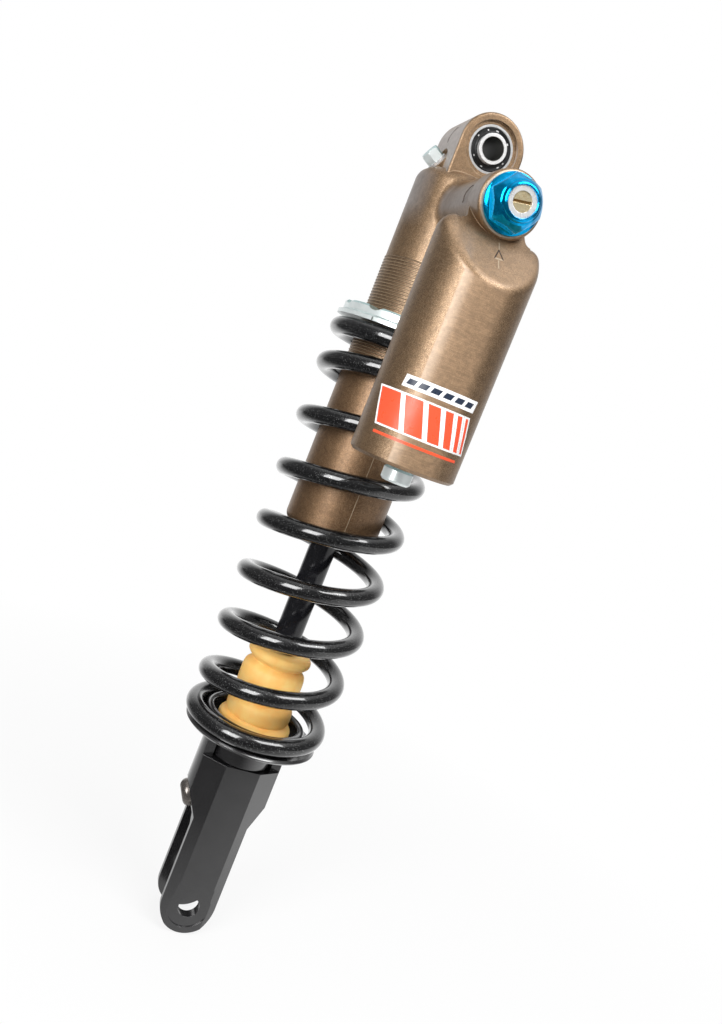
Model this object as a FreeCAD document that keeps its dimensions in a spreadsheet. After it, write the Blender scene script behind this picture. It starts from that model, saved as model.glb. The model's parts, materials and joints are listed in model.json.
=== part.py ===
import FreeCAD, Part

import math
import os
import re

import Sketcher

# Rear shock absorber of a small off-road motorcycle, in millimetres.
# The frame: +Z runs up the shock's axis, and the origin is the centre of the upper eye's bore.
# The eye bore and the clevis bolt run along Y, and the reservoir hangs on the -Y side.

DRIVING_SIZES = (
    # name, value in mm or degrees or a count, what it measures
    ("fit", 0.02, "gap between two pieces that are fixed together"),
    ("running_fit", 0.05, "radial gap of a piece that slides or turns in another"),
    ("free_gap", 0.3, "gap to a soft or curved piece that only rests there"),
    ("cut_past", 1.0, "how far a cutting tool runs past the metal"),
    ("edge_bevel", 1.0, "bevel of the nut, the lower seat, the lock ring and the valve cap"),
    ("eye_radius", 16.4, "outside of the upper eye"),
    ("eye_width", 34.0, "upper eye along the bolt"),
    ("eye_edge_round", 1.3, "rounding of the eye's two outer edges"),
    ("eye_recess_radius", 13.0, "counterbore round the bearing"),
    ("eye_recess_depth", 1.4, "depth of that counterbore"),
    ("bearing_radius", 11.1, "outside of the needle bearing's cup"),
    ("needle_radius", 1.5, "one needle of the bearing"),
    ("needle_count", 14, "needles in the bearing"),
    ("collar_radius", 6.95, "outside of the eye's collar"),
    ("collar_bore_radius", 5.25, "bore for the M10 frame bolt"),
    ("collar_length", 36.4, "collar along the bolt"),
    ("seal_width", 4.0, "one dust seal along the bolt"),
    ("tube_radius", 24.2, "outside of the damper tube and of its thread"),
    ("tube_bore_radius", 18.0, "bore that the piston runs in"),
    ("tube_bottom_drop", 200.0, "eye centre down to the tube's lower end"),
    ("tube_end_round", 4.5, "rounding of the tube's lower end"),
    ("head_drop", 15.0, "eye centre down to the top of the head's shoulder"),
    ("head_round", 7.0, "rounding of that shoulder"),
    ("head_wall", 29.0, "solid metal between the shoulder and the tube's bore"),
    ("boss_radius", 14.7, "adjuster boss, seen end on"),
    ("boss_drop", 32.0, "eye centre down to the boss's axis"),
    ("boss_overhang", 5.8, "reservoir's axis out to the boss's face"),
    ("boss_bore_radius", 9.5, "bore for the compression adjuster"),
    ("boss_fillet", 6.0, "fillet where the boss leaves the tube"),
    ("boss_end_length", 12.4, "thicker end of the boss, from its face"),
    ("boss_step", 0.9, "radius that the boss loses behind that end"),
    ("boss_rim_round", 1.6, "rounding of the boss's front rim"),
    ("neck_radius", 14.3, "reservoir's neck, under the boss"),
    ("neck_fillet", 2.8, "fillet where the reservoir's neck leaves its top"),
    ("port_radius", 3.5, "oil passages in the head"),
    ("port_edge", 1.0, "metal or room beside an oil passage"),
    ("reservoir_radius", 24.3, "outside of the reservoir"),
    ("reservoir_wall", 3.6, "wall of the reservoir"),
    ("reservoir_gap", 2.0, "clear space between the reservoir and the coils"),
    ("reservoir_top_drop", 44.0, "eye centre down to the reservoir's top"),
    ("reservoir_round", 7.0, "rounding of the reservoir's top edge"),
    ("slope_drop", 23.0, "reservoir's top down to the lowest point of its sloping front"),
    ("slope_tilt", 46.0, "that slope from the horizontal, in degrees"),
    ("slope_round", 6.0, "rounding of that slope's lower edge"),
    ("reservoir_length", 107.0, "reservoir from its top to its rim"),
    ("reservoir_rim_chamfer", 1.4, "bevel round the rim"),
    ("cap_height", 7.0, "reservoir end cap"),
    ("cap_inset", 2.6, "rim down to the cap's face, inside"),
    ("reservoir_clip_height", 1.2, "clip under the end cap, along the axis"),
    ("reservoir_clip_depth", 2.4, "clip under the end cap, along the radius"),
    ("bladder_rim_height", 2.0, "bladder's thick rim on the end cap"),
    ("bladder_radius", 17.5, "rubber bladder in the reservoir"),
    ("bladder_length", 62.0, "bladder above the end cap"),
    ("bladder_wall", 1.6, "wall of the bladder"),
    ("valve_radius", 4.0, "gas valve's stem"),
    ("valve_cap_radius", 6.9, "cap over the gas valve"),
    ("valve_cap_height", 6.6, "cap over the gas valve"),
    ("valve_cap_gap", 1.2, "reservoir's rim down to that cap"),
    ("bleed_tilt", 26.0, "bleed bolt above the horizontal, in degrees"),
    ("bleed_boss_radius", 7.25, "raised seat of the bleed bolt"),
    ("bleed_seat_inset", 6.6, "tube's outside in to the middle of that seat"),
    ("bleed_seat_drop", 12.0, "eye centre down to the middle of that seat"),
    ("bleed_thread_radius", 3.0, "bleed bolt's thread"),
    ("bleed_thread_length", 9.0, "bleed bolt's thread"),
    ("bleed_hex_width", 8.0, "bleed bolt's head across its flats"),
    ("bleed_hex_height", 5.6, "bleed bolt's head"),
    ("bleed_washer_radius", 4.9, "crush washer under that head"),
    ("bleed_washer_thickness", 1.2, "crush washer under that head"),
    ("hex_width", 22.6, "blue adjuster across its flats"),
    ("hex_height", 8.2, "blue adjuster's hexagon"),
    ("hex_corner_height", 3.5, "hexagon's corners, up to the cone that cuts them off"),
    ("hex_shoulder", 0.7, "flat step between that cone and the hub"),
    ("hex_flange_radius", 13.0, "round flange behind the hexagon"),
    ("hex_flange_height", 2.2, "round flange behind the hexagon"),
    ("hex_hub_radius", 9.0, "round hub in front of the hexagon"),
    ("hex_hub_height", 2.0, "round hub in front of the hexagon"),
    ("hex_hub_round", 1.6, "rounding of the hub's rim"),
    ("hex_turn", 15.0, "turn of the hexagon's corners, in degrees"),
    ("stem_radius", 6.5, "adjuster housing where the blue hexagon turns on it"),
    ("stem_inset", 0.8, "blue hub's face down to the stem's face"),
    ("neck_shaft_radius", 6.0, "adjuster housing beside the oil chamber"),
    ("stud_radius", 4.2, "adjuster housing's end, which carries the compression piston"),
    ("screw_radius", 4.3, "brass screw's head"),
    ("screw_length", 9.0, "brass screw's head along its axis"),
    ("screw_inset", 0.5, "stem's face down to the screw's face"),
    ("screw_slot_width", 1.2, "screwdriver slot"),
    ("screw_slot_depth", 1.4, "screwdriver slot"),
    ("screw_slot_tilt", 13.0, "slot from the horizontal, in degrees"),
    ("needle_valve_radius", 2.0, "low speed needle"),
    ("needle_point", 1.0, "how far its point stands out of the stud"),
    ("stud_past", 1.0, "stud's end past its last shim"),
    ("compression_piston_height", 6.0, "piston of the compression valve"),
    ("compression_port_radius", 1.3, "an oil port in that piston"),
    ("compression_shim_radius", 8.5, "largest shim on that piston"),
    ("compression_shim_step", 1.5, "each next shim is smaller by this"),
    ("nut_radius", 34.4, "preload nut across its lobes"),
    ("nut_height", 5.2, "preload nut"),
    ("nut_turn", 4.0, "direction of the first notch, in degrees"),
    ("nut_notch_count", 10, "round notches in its top, for a drift or a hook wrench"),
    ("nut_notch_depth", 2.2, "one notch, down from the nut's top"),
    ("nut_notch_radius", 5.1, "round bottom of one notch"),
    ("washer_radius", 36.4, "split washer between the nut and the spring"),
    ("washer_thickness", 1.9, "that washer"),
    ("washer_split", 0.8, "its split"),
    ("washer_split_turn", 223.0, "direction of its split, in degrees"),
    ("spring_diameter", 75.0, "outside of the coils"),
    ("wire_diameter", 9.0, "spring wire"),
    ("spring_length", 214.9, "spring from end to end"),
    ("spring_top_drop", 95.2, "eye centre down to the spring's upper end"),
    ("active_turns", 7.35, "turns at full pitch, counted between the end turns"),
    ("upper_end_turns", 0.69, "closed upper end, from its tip to the middle of its rise"),
    ("upper_rise_turns", 1.3, "turns over which the upper end takes up the full pitch"),
    ("lower_end_turns", 0.64, "closed lower end, from its tip to the middle of its rise"),
    ("lower_rise_turns", 0.5, "turns over which the lower end takes up the full pitch"),
    ("spring_start_turn", 312.0, "direction of the upper tip, in degrees"),
    ("rod_radius", 7.0, "damper rod"),
    ("rod_bore_radius", 3.2, "bore of the damper rod"),
    ("rebound_rod_radius", 2.6, "rebound metering rod in it"),
    ("rebound_rod_inset", 1.0, "damper rod's end down to the metering rod's end"),
    ("rebound_taper_length", 5.0, "metering rod's tapered end"),
    ("rebound_taper", 1.5, "radius that the taper takes off"),
    ("seal_head_height", 28.0, "seal head"),
    ("seal_head_bevel", 3.5, "bevel round the seal head's top"),
    ("bushing_wall", 1.2, "bushing that guides the rod"),
    ("bushing_length", 12.0, "bushing that guides the rod"),
    ("oil_seal_radius", 11.5, "outside of the oil seal"),
    ("oil_seal_height", 5.5, "oil seal"),
    ("seal_land", 2.0, "metal between the oil seal and the bushing"),
    ("o_ring_radius", 0.79, "section of the O-rings"),
    ("groove_depth", 1.76, "O-ring groove, along the radius"),
    ("groove_width", 2.64, "O-ring groove, along the axis"),
    ("groove_edge", 2.5, "metal beside the O-ring groove of a cap or housing"),
    ("seal_groove_rise", 12.0, "seal head's lower face up to its O-ring groove"),
    ("clip_height", 1.1, "seal head's clip, along the axis"),
    ("clip_depth", 1.1, "how far the clip's groove is cut into the tube"),
    ("dust_cover_height", 2.2, "cover over the seal head"),
    ("bumper_height", 8.0, "rubber that softens full extension"),
    ("bumper_wall", 4.5, "its thickness, along the radius"),
    ("piston_height", 13.0, "damper piston"),
    ("piston_band_height", 6.0, "sliding band round the piston"),
    ("piston_band_depth", 1.6, "sliding band, along the radius"),
    ("port_count", 6, "oil ports in a piston"),
    ("piston_port_radius", 2.2, "one of them"),
    ("piston_port_path", 10.4, "circle that they lie on in the damper piston"),
    ("top_out_plate_height", 3.0, "plate that the top-out bumper presses on"),
    ("top_out_plate_radius", 13.0, "that plate"),
    ("shim_thickness", 0.9, "one shim, thicker than the real leaf"),
    ("shim_count", 3, "shims in a stack"),
    ("shim_radius", 14.5, "largest shim"),
    ("shim_step", 2.2, "each next shim is smaller by this"),
    ("rod_stud_radius", 4.5, "rod's end where the valve parts sit"),
    ("rod_nut_width", 15.0, "nut on that end, across its flats"),
    ("rod_nut_height", 7.0, "nut on that end"),
    ("rod_past_nut", 2.0, "rod's end past that nut"),
    ("bump_stop_length", 43.5, "bump stop"),
    ("bump_stop_radius", 16.8, "bump stop's upper ribs"),
    ("bump_low_rib_radius", 17.4, "bump stop's lowest rib"),
    ("bump_foot_radius", 19.7, "bump stop's foot"),
    ("bump_foot_height", 5.1, "bump stop's foot"),
    ("bump_low_rib_height", 10.0, "bump stop's lowest rib, with the crease under it"),
    ("bump_middle_height", 16.0, "bump stop's middle rib"),
    ("bump_groove_width", 3.2, "a groove between two ribs"),
    ("bump_groove_depth", 3.5, "a groove between two ribs"),
    ("bump_crease_depth", 1.4, "crease over the foot"),
    ("bump_bevel", 1.8, "rounding of each rib"),
    ("seat_radius", 35.4, "flange of the lower spring seat"),
    ("seat_thickness", 2.4, "that flange"),
    ("cup_height", 7.4, "ring that centres the spring"),
    ("cup_gap", 1.7, "clear space between that ring and the coils"),
    ("cup_wall", 4.0, "that ring"),
    ("cup_floor", 3.4, "floor that the bump stop stands on"),
    ("lock_ring_radius", 15.9, "round lock ring on the rod"),
    ("lock_ring_height", 15.3, "round lock ring on the rod"),
    ("clevis_radius", 22.3, "turned upper part of the clevis"),
    ("clevis_width", 31.0, "clevis along the bolt"),
    ("clevis_length", 80.86, "clevis's floor down to the bolt centre"),
    ("clevis_wall_rise", 9.0, "side walls above the clevis's floor"),
    ("facet_half_width", 9.2, "half of the flat front facet"),
    ("facet_slope", 0.646, "slope of the facets beside it"),
    ("ear_radius", 14.7, "half width and end radius of the ears"),
    ("ear_length", 48.0, "bolt centre up to where the ears begin"),
    ("shoulder_length", 63.0, "bolt centre up to where the clevis narrows"),
    ("slot_width", 18.0, "gap between the ears"),
    ("slot_depth", 47.0, "bolt centre up to the top of the gap"),
    ("bolt_hole_radius", 5.6, "hole for the M10 clevis bolt"),
    ("spot_face_radius", 11.3, "milled face round that hole"),
    ("spot_face_depth", 0.6, "milled face round that hole"),
    ("pad_length", 12.4, "bolt centre up to the edge of the milled ear end"),
    ("lock_ring_gap", 0.2, "clear space beside the lock ring in the clevis"),
    ("clevis_bevel", 1.0, "bevel round the clevis's top"),
    ("slot_round", 4.0, "bevel in the top corners of the gap between the ears"),
    ("pad_depth", 0.4, "milled ear end, below the sides"),
    ("socket_floor", 0.5, "metal between the rod's end and the rebound adjuster"),
    ("adjuster_tip_radius", 0.8, "tip of the rebound adjuster's cone"),
    ("adjuster_cone_length", 7.0, "that cone"),
    ("adjuster_head_radius", 7.2, "rebound adjuster's domed head"),
    ("adjuster_head_height", 4.4, "rebound adjuster's domed head"),
    ("adjuster_dome_round", 3.6, "rounding that makes the dome"),
    ("adjuster_shank_radius", 3.5, "rebound adjuster's shank"),
    ("adjuster_slot_width", 1.4, "its screwdriver slot"),
)

# Places and sizes that follow from the driving ones. Heights are along Z, with their sign.
FOLLOWING_SIZES = (
    ("bearing_width", "eye_width - 2 * eye_recess_depth"),
    ("needle_path_radius", "collar_radius + running_fit + needle_radius"),
    ("cup_bore_radius", "collar_radius + 2 * running_fit + 2 * needle_radius"),
    ("needle_length", "bearing_width - 2 * seal_width - 2 * free_gap"),
    ("tube_bottom", "-tube_bottom_drop"),
    ("head_top", "-head_drop"),
    ("bore_top", "-head_drop - head_wall"),
    ("boss_height", "-boss_drop"),
    ("bleed_seat_out", "tube_radius - bleed_seat_inset"),
    ("boss_bore_end", "tube_bore_radius - 2 * port_radius - 2 * port_edge"),
    ("tube_port_out", "boss_bore_end + port_radius + port_edge"),
    ("spring_radius", "spring_diameter / 2"),
    ("wire_radius", "wire_diameter / 2"),
    ("coil_radius", "spring_diameter / 2 - wire_diameter / 2"),
    ("spring_bore_radius", "spring_diameter / 2 - wire_diameter"),
    ("spring_top", "-spring_top_drop"),
    ("spring_bottom", "spring_top - spring_length"),
    ("washer_bottom", "spring_top + free_gap"),
    ("washer_top", "washer_bottom + washer_thickness"),
    ("nut_bottom", "washer_top + fit"),
    ("nut_top", "nut_bottom + nut_height"),
    ("reservoir_offset", "spring_radius + reservoir_gap + reservoir_radius"),
    ("boss_reach", "reservoir_offset + boss_overhang"),
    ("reservoir_top", "-reservoir_top_drop"),
    ("reservoir_bottom", "reservoir_top - reservoir_length"),
    ("reservoir_bore_radius", "reservoir_radius - reservoir_wall"),
    ("slope_over_bore", "reservoir_top - slope_drop + reservoir_wall * tan(slope_tilt * 1 deg)"),
    ("reservoir_ceiling", "slope_over_bore - reservoir_wall / cos(slope_tilt * 1 deg)"),
    ("cap_bottom", "reservoir_bottom + cap_inset"),
    ("cap_top", "cap_bottom + cap_height"),
    ("bladder_top", "cap_top + bladder_length"),
    ("valve_bottom", "reservoir_bottom - 0.6 * valve_cap_height"),
    ("valve_cap_bottom", "reservoir_bottom - valve_cap_gap - valve_cap_height"),
    ("hex_back", "boss_reach + hex_flange_height"),
    ("hex_front", "hex_back + hex_height"),
    ("hex_corner_radius", "hex_width / sqrt(3)"),
    ("hub_face", "hex_front + hex_hub_height"),
    ("stem_face", "hub_face - stem_inset"),
    ("screw_face", "stem_face - screw_inset"),
    ("screw_back", "screw_face - screw_length"),
    ("reservoir_port_out", "reservoir_offset - reservoir_bore_radius + port_radius + port_edge"),
    ("housing_end", "reservoir_port_out + port_radius + port_edge"),
    ("valve_face", "reservoir_port_out - port_radius - port_edge"),
    ("valve_end", "valve_face - fit - compression_piston_height"),
    ("stud_end", "valve_end - shim_count * (shim_thickness + fit) - stud_past"),
    ("seal_head_bottom", "tube_bottom + dust_cover_height + 2 * clip_height"),
    ("seal_head_top", "seal_head_bottom + seal_head_height"),
    ("bushing_radius", "rod_radius + running_fit + bushing_wall"),
    ("bushing_bottom", "seal_head_bottom + oil_seal_height + seal_land"),
    ("bushing_top", "bushing_bottom + bushing_length"),
    ("dust_cover_top", "tube_bottom + dust_cover_height"),
    ("clip_middle", "dust_cover_top + clip_height"),
    ("bumper_bottom", "seal_head_top + free_gap"),
    ("bumper_top", "bumper_bottom + bumper_height"),
    ("stack_height", "shim_count * shim_thickness + shim_count * fit"),
    ("plate_bottom", "bumper_top + free_gap"),
    ("plate_top", "plate_bottom + top_out_plate_height"),
    ("piston_bottom", "plate_top + stack_height + 2 * fit"),
    ("piston_top", "piston_bottom + piston_height"),
    ("rod_nut_bottom", "piston_top + stack_height + 2 * fit"),
    ("rod_nut_top", "rod_nut_bottom + rod_nut_height"),
    ("rod_top", "rod_nut_top + rod_past_nut"),
    ("seat_top", "spring_bottom - free_gap"),
    ("seat_bottom", "seat_top - seat_thickness"),
    ("cup_top", "seat_top + cup_height"),
    ("cup_radius", "spring_bore_radius - cup_gap"),
    ("cup_floor_top", "seat_bottom + cup_floor"),
    ("bump_bottom", "cup_floor_top + free_gap"),
    ("bump_top", "bump_bottom + bump_stop_length"),
    ("lock_ring_top", "seat_bottom - fit"),
    ("lock_ring_bottom", "lock_ring_top - lock_ring_height"),
    ("clevis_floor", "lock_ring_bottom - fit"),
    ("clevis_top", "clevis_floor + clevis_wall_rise"),
    ("bolt_height", "clevis_floor - clevis_length"),
    ("eye_to_eye", "-bolt_height"),
    ("ear_top", "bolt_height + ear_length"),
    ("shoulder_height", "bolt_height + shoulder_length"),
    ("slot_top", "bolt_height + slot_depth"),
    ("facet_depth", "clevis_width / 2 - facet_slope * (clevis_radius - facet_half_width)"),
    ("slant_rise", "shoulder_height - ear_top"),
    ("slant_run", "clevis_radius - ear_radius"),
    ("slant_middle_height", "(ear_top + shoulder_height) / 2"),
    ("slant_middle_out", "(ear_radius + clevis_radius) / 2"),
    ("slant_middle_drop", "slant_middle_out * slant_run / slant_rise"),
    ("tip_height", "slant_middle_height + slant_middle_drop"),
    ("tip_depth", "slant_middle_out * sqrt(1 + (slant_run / slant_rise) ^ 2)"),
    ("rod_bottom", "tip_height + adjuster_shank_radius + socket_floor"),
    ("rebound_rod_bottom", "tip_height + adjuster_tip_radius + free_gap"),
    ("rebound_rod_top", "rod_top - rebound_rod_inset"),
)

doc = FreeCAD.newDocument("RearShock")


def make_sheet(name, rows):
    """A sheet with one aliased cell a row."""
    sheet = doc.addObject("Spreadsheet::Sheet", name)
    for number, (alias, text, note) in enumerate(rows, start=1):
        sheet.set(f"A{number}", alias)
        sheet.set(f"B{number}", text)
        sheet.set(f"C{number}", note)
        sheet.setAlias(f"B{number}", alias)
    return sheet


driving_names = [row[0] for row in DRIVING_SIZES]
following_names = [row[0] for row in FOLLOWING_SIZES]
WORD = re.compile(r"[a-z_]+")


def in_sheet(text):
    """A formula for the second sheet, which names its own cells bare."""
    return WORD.sub(lambda m: "Sizes." + m.group() if m.group() in driving_names else m.group(), text)


def bound(text):
    """A formula for any other object: each name gets its sheet's name."""
    def full(match):
        word = match.group()
        if word in driving_names:
            return "Sizes." + word
        if word in following_names:
            return "Places." + word
        return word
    return WORD.sub(full, str(text))


sizes = make_sheet("Sizes", [(name, str(value), note) for name, value, note in DRIVING_SIZES])
places = make_sheet("Places", [(name, "=" + in_sheet(text), "") for name, text in FOLLOWING_SIZES])
doc.recompute()


def value(name):
    """One size as a number, for what is worked out from several of them."""
    sheet = sizes if name in driving_names else places
    return float(sheet.get(name))


def bind(item, **formulas):
    """Binds properties of an object to the sheets. A double underscore stands for a dot."""
    for prop, text in formulas.items():
        item.setExpression(prop.replace("__", "."), bound(text))
    return item


# Outlines and the features made from them


def start_body(name):
    body = doc.addObject("PartDesign::Body", name)
    body.Label = name
    return body


def sketch_on(body, role, name):
    """An empty sketch on one of the body's own origin planes."""
    sketch = body.newObject("Sketcher::SketchObject", name)
    plane = [feature for feature in body.Origin.OriginFeatures if feature.Role == role][0]
    sketch.AttachmentSupport = [(plane, "")]
    sketch.MapMode = "FlatFace"
    return sketch


def fix_point(sketch, edge, end, across, up):
    """Ties a point of the sketch to the sheets by its two coordinates."""
    for kind, text, axis in (("DistanceX", across, -2), ("DistanceY", up, -1)):
        if str(text) == "0":
            sketch.addConstraint(Sketcher.Constraint("PointOnObject", edge, end, axis))
            continue
        number = sketch.addConstraint(Sketcher.Constraint(kind, -1, 1, edge, end, 1.0 + edge))
        sketch.setExpression(f"Constraints[{number}]", bound(text))


def draw_outline(sketch, corners):
    """A closed outline of straight edges. Each corner is a pair of formulas."""
    count = len(corners)
    spread = [
        FreeCAD.Vector(50 * math.cos(2 * math.pi * i / count), 50 * math.sin(2 * math.pi * i / count), 0)
        for i in range(count)
    ]
    first = sketch.GeometryCount
    for i in range(count):
        sketch.addGeometry(Part.LineSegment(spread[i], spread[(i + 1) % count]))
    for i in range(count):
        sketch.addConstraint(Sketcher.Constraint("Coincident", first + i, 2, first + (i + 1) % count, 1))
    for i, (across, up) in enumerate(corners):
        fix_point(sketch, first + i, 1, across, up)


def add_turned(body, name, corners):
    """A full turn of an outline (radius, height) about the body's own Z axis."""
    sketch = sketch_on(body, "XZ_Plane", name + "_outline")
    draw_outline(sketch, corners)
    turned = body.newObject("PartDesign::Revolution", name + "_turned")
    turned.Profile = sketch
    turned.ReferenceAxis = (sketch, ["V_Axis"])
    turned.Angle = 360
    return turned


def turned_body(name, corners):
    body = start_body(name)
    add_turned(body, name, corners)
    return body


def ring_body(name, inner, outer, low, high):
    """A plain ring, or a disc where inner is 0."""
    return turned_body(name, ((inner, low), (outer, low), (outer, high), (inner, high)))


def padded_body(name, role, corners, length):
    """An outline pushed out to both sides of its plane."""
    body = start_body(name)
    sketch = sketch_on(body, role, name + "_outline")
    draw_outline(sketch, corners)
    pad = body.newObject("PartDesign::Pad", name + "_pad")
    pad.Profile = sketch
    pad.SideType = "Symmetric"
    bind(pad, Length=length)
    return body


def circle_at(radius, height):
    """A test for the circular edges of one radius at one height."""
    def fits(edge, shape):
        if edge.Curve.TypeId != "Part::GeomCircle":
            return False
        return abs(edge.Curve.Radius - radius) < 1e-4 and abs(edge.Curve.Center.z - height) < 1e-4
    return fits


def round_edges(body, name, radius, wanted, kind="Fillet"):
    """Rounds or bevels the edges of the body's last feature that pass the test."""
    doc.recompute()
    base = body.Tip
    names = [f"Edge{number}" for number, edge in enumerate(base.Shape.Edges, start=1)
             if wanted(edge, base.Shape)]
    feature = body.newObject("PartDesign::" + kind, name)
    feature.Base = (base, names)
    bind(feature, **{"Radius" if kind == "Fillet" else "Size": radius})
    return feature


# Plain solids and joins


def solid(kind, name, turn=None, at=None, **formulas):
    """A primitive bound to the sheets. turn is (axis, degrees), and at is three formulas."""
    item = doc.addObject("Part::" + kind, name)
    if turn:
        axis, degrees = turn
        item.Placement = FreeCAD.Placement(FreeCAD.Vector(), FreeCAD.Rotation(FreeCAD.Vector(*axis), degrees))
    bind(item, **formulas)
    place(item, at)
    return item


def place(item, at):
    if at:
        for letter, text in zip("xyz", at):
            if str(text) != "0":
                bind(item, **{"Placement__Base__" + letter: text})
    return item


def fuse(name, pieces):
    item = doc.addObject("Part::MultiFuse", name)
    item.Shapes = pieces
    item.Refine = True
    return item


def cut(name, base, tools):
    item = doc.addObject("Part::Cut", name)
    item.Base = base
    item.Tool = tools[0] if len(tools) == 1 else fuse(name + "_tools", tools)
    item.Refine = True
    return item


def common(name, pieces):
    item = doc.addObject("Part::MultiCommon", name)
    item.Shapes = pieces
    return item


ALONG_MINUS_Y = ((1, 0, 0), 90)
nodes = {}


def node(name, item):
    """Keeps an object as a sub-part, under the name of its file."""
    item.Label = name
    nodes[name] = item
    return item


# Upper eye: bearing cup, needles, collar and two dust seals, all along Y


def eye_piece(name, inner, outer, low, high):
    """A ring about the eye's axis."""
    body = ring_body(name, inner, outer, low, high)
    body.Placement.Rotation = FreeCAD.Rotation(FreeCAD.Vector(*ALONG_MINUS_Y[0]), ALONG_MINUS_Y[1])
    return body


node("eye_bearing_ring", eye_piece(
    "eye_bearing_ring", "cup_bore_radius", "bearing_radius - fit", "-bearing_width / 2", "bearing_width / 2"))
node("eye_collar", eye_piece(
    "eye_collar", "collar_bore_radius", "collar_radius", "-collar_length / 2", "collar_length / 2"))

front_seal = eye_piece(
    "front_seal", "collar_radius + running_fit", "cup_bore_radius - fit",
    "bearing_width / 2 - seal_width", "bearing_width / 2")
back_seal = eye_piece(
    "back_seal", "collar_radius + running_fit", "cup_bore_radius - fit",
    "-bearing_width / 2", "seal_width - bearing_width / 2")
eye_seals = doc.addObject("Part::Compound", "eye_seals")
eye_seals.Links = [front_seal, back_seal]
node("eye_seals", eye_seals)


def needle_at(number):
    turn = 360.0 * number / value("needle_count")
    needle = solid(
        "Cylinder", f"needle_{number}", ALONG_MINUS_Y,
        (f"needle_path_radius * cos({turn})", "needle_length / 2", f"needle_path_radius * sin({turn})"),
        Radius="needle_radius", Height="needle_length")
    return needle


eye_needles = doc.addObject("Part::Compound", "eye_needles")
eye_needles.Links = [needle_at(number) for number in range(int(value("needle_count")))]
node("eye_needles", eye_needles)


# Main casting: eye, head, damper tube, adjuster boss and reservoir


def on_boss(item):
    """Turns a body that stands on its own Z axis onto the boss's axis."""
    item.Placement.Rotation = FreeCAD.Rotation(FreeCAD.Vector(*ALONG_MINUS_Y[0]), ALONG_MINUS_Y[1])
    bind(item, Placement__Base__z="boss_height")
    return item


def casting_tube():
    """Damper tube and head, rounded at the shoulder and at the lower end."""
    body = turned_body("casting_tube", (
        ("0", "head_top"), ("tube_radius", "head_top"), ("tube_radius", "tube_bottom"), ("0", "tube_bottom")))
    round_edges(body, "head_shoulder", "head_round", circle_at(value("tube_radius"), value("head_top")))
    round_edges(body, "tube_end", "tube_end_round", circle_at(value("tube_radius"), value("tube_bottom")))
    return body


def on_slope_edge(edge, shape):
    """True for the edges where the sloping front meets the reservoir's round side."""
    faces = shape.ancestorsOfType(edge, Part.Face)
    sloped = [face for face in faces if face.Surface.TypeId == "Part::GeomPlane"
              and 0.1 < abs(face.normalAt(0, 0).z) < 0.9]
    sides = [face for face in faces if face.Surface.TypeId == "Part::GeomCylinder"
             and abs(face.Surface.Radius - value("reservoir_radius")) < 1e-6]
    return bool(sloped) and bool(sides)


def casting_reservoir():
    """Reservoir and its neck, both cut off at a slope in front, under the boss's face."""
    wall = ring_body("reservoir_turning", "0", "reservoir_radius", "reservoir_bottom", "reservoir_top")
    round_edges(wall, "reservoir_rim", "reservoir_rim_chamfer",
                circle_at(value("reservoir_radius"), value("reservoir_bottom")), "Chamfer")
    neck = turned_body("neck_turning", (
        ("0", "boss_height"), ("neck_radius", "boss_height"), ("neck_radius", "reservoir_top"),
        ("neck_radius + neck_fillet + fit", "reservoir_top"),
        ("neck_radius + neck_fillet + fit", "reservoir_top - neck_fillet"),
        ("0", "reservoir_top - neck_fillet")))
    round_edges(neck, "neck_root", "neck_fillet", circle_at(value("neck_radius"), value("reservoir_top")))
    slope_start = ("-2 * reservoir_radius", "-reservoir_offset - reservoir_radius",
                   "reservoir_top - slope_drop")
    slope = solid("Box", "slope", ((1, 0, 0), value("slope_tilt")), slope_start,
                  Length="4 * reservoir_radius", Width="4 * reservoir_radius", Height="4 * reservoir_radius")
    for turning in (wall, neck):
        bind(turning, Placement__Base__y="-reservoir_offset")
    sloped_neck = cut("neck_sloped", neck, [slope])
    sloped_wall = cut("reservoir_sloped", wall, [slope])
    doc.recompute()
    body = doc.addObject("PartDesign::Body", "casting_reservoir")
    body.BaseFeature = sloped_wall
    round_edges(body, "slope_edge", "slope_round", on_slope_edge)
    round_edges(body, "reservoir_shoulder", "reservoir_round",
                circle_at(value("reservoir_radius"), value("reservoir_top")))
    return [body, sloped_neck]


def between_boss_and_tube(edge, shape):
    """True for the edges where the boss leaves the tube and the head's shoulder."""
    if edge.Curve.TypeId in ("Part::GeomLine", "Part::GeomCircle"):
        return False
    faces = shape.ancestorsOfType(edge, Part.Face)
    barrels = [face for face in faces if face.Surface.TypeId == "Part::GeomCylinder"
               and abs(face.Surface.Axis.y) > 0.9]
    return bool(barrels) and edge.BoundBox.YMin > -value("tube_radius") - value("cut_past")


def casting_rough():
    """Tube, boss and reservoir in one, with the fillet at the boss."""
    boss = turned_body("boss", (
        ("0", "0"), ("boss_radius - boss_step", "0"),
        ("boss_radius - boss_step", "boss_reach - boss_end_length - boss_step"),
        ("boss_radius", "boss_reach - boss_end_length"), ("boss_radius", "boss_reach"), ("0", "boss_reach")))
    round_edges(boss, "boss_rim", "boss_rim_round", circle_at(value("boss_radius"), value("boss_reach")))
    on_boss(boss)
    rough = fuse("casting_join", [casting_tube(), boss] + casting_reservoir())
    doc.recompute()
    body = doc.addObject("PartDesign::Body", "casting_rough")
    body.BaseFeature = rough
    round_edges(body, "boss_root", "boss_fillet", between_boss_and_tube)
    return body


def on_eye_outline(edge, shape):
    """True for the edges of the eye's two faces, apart from the one under the head's shoulder."""
    box = edge.BoundBox
    on_face = box.YLength < 1e-6 and abs(abs(box.YMin) - value("eye_width") / 2) < 1e-6
    return on_face and box.ZMax > value("head_top")


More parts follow.
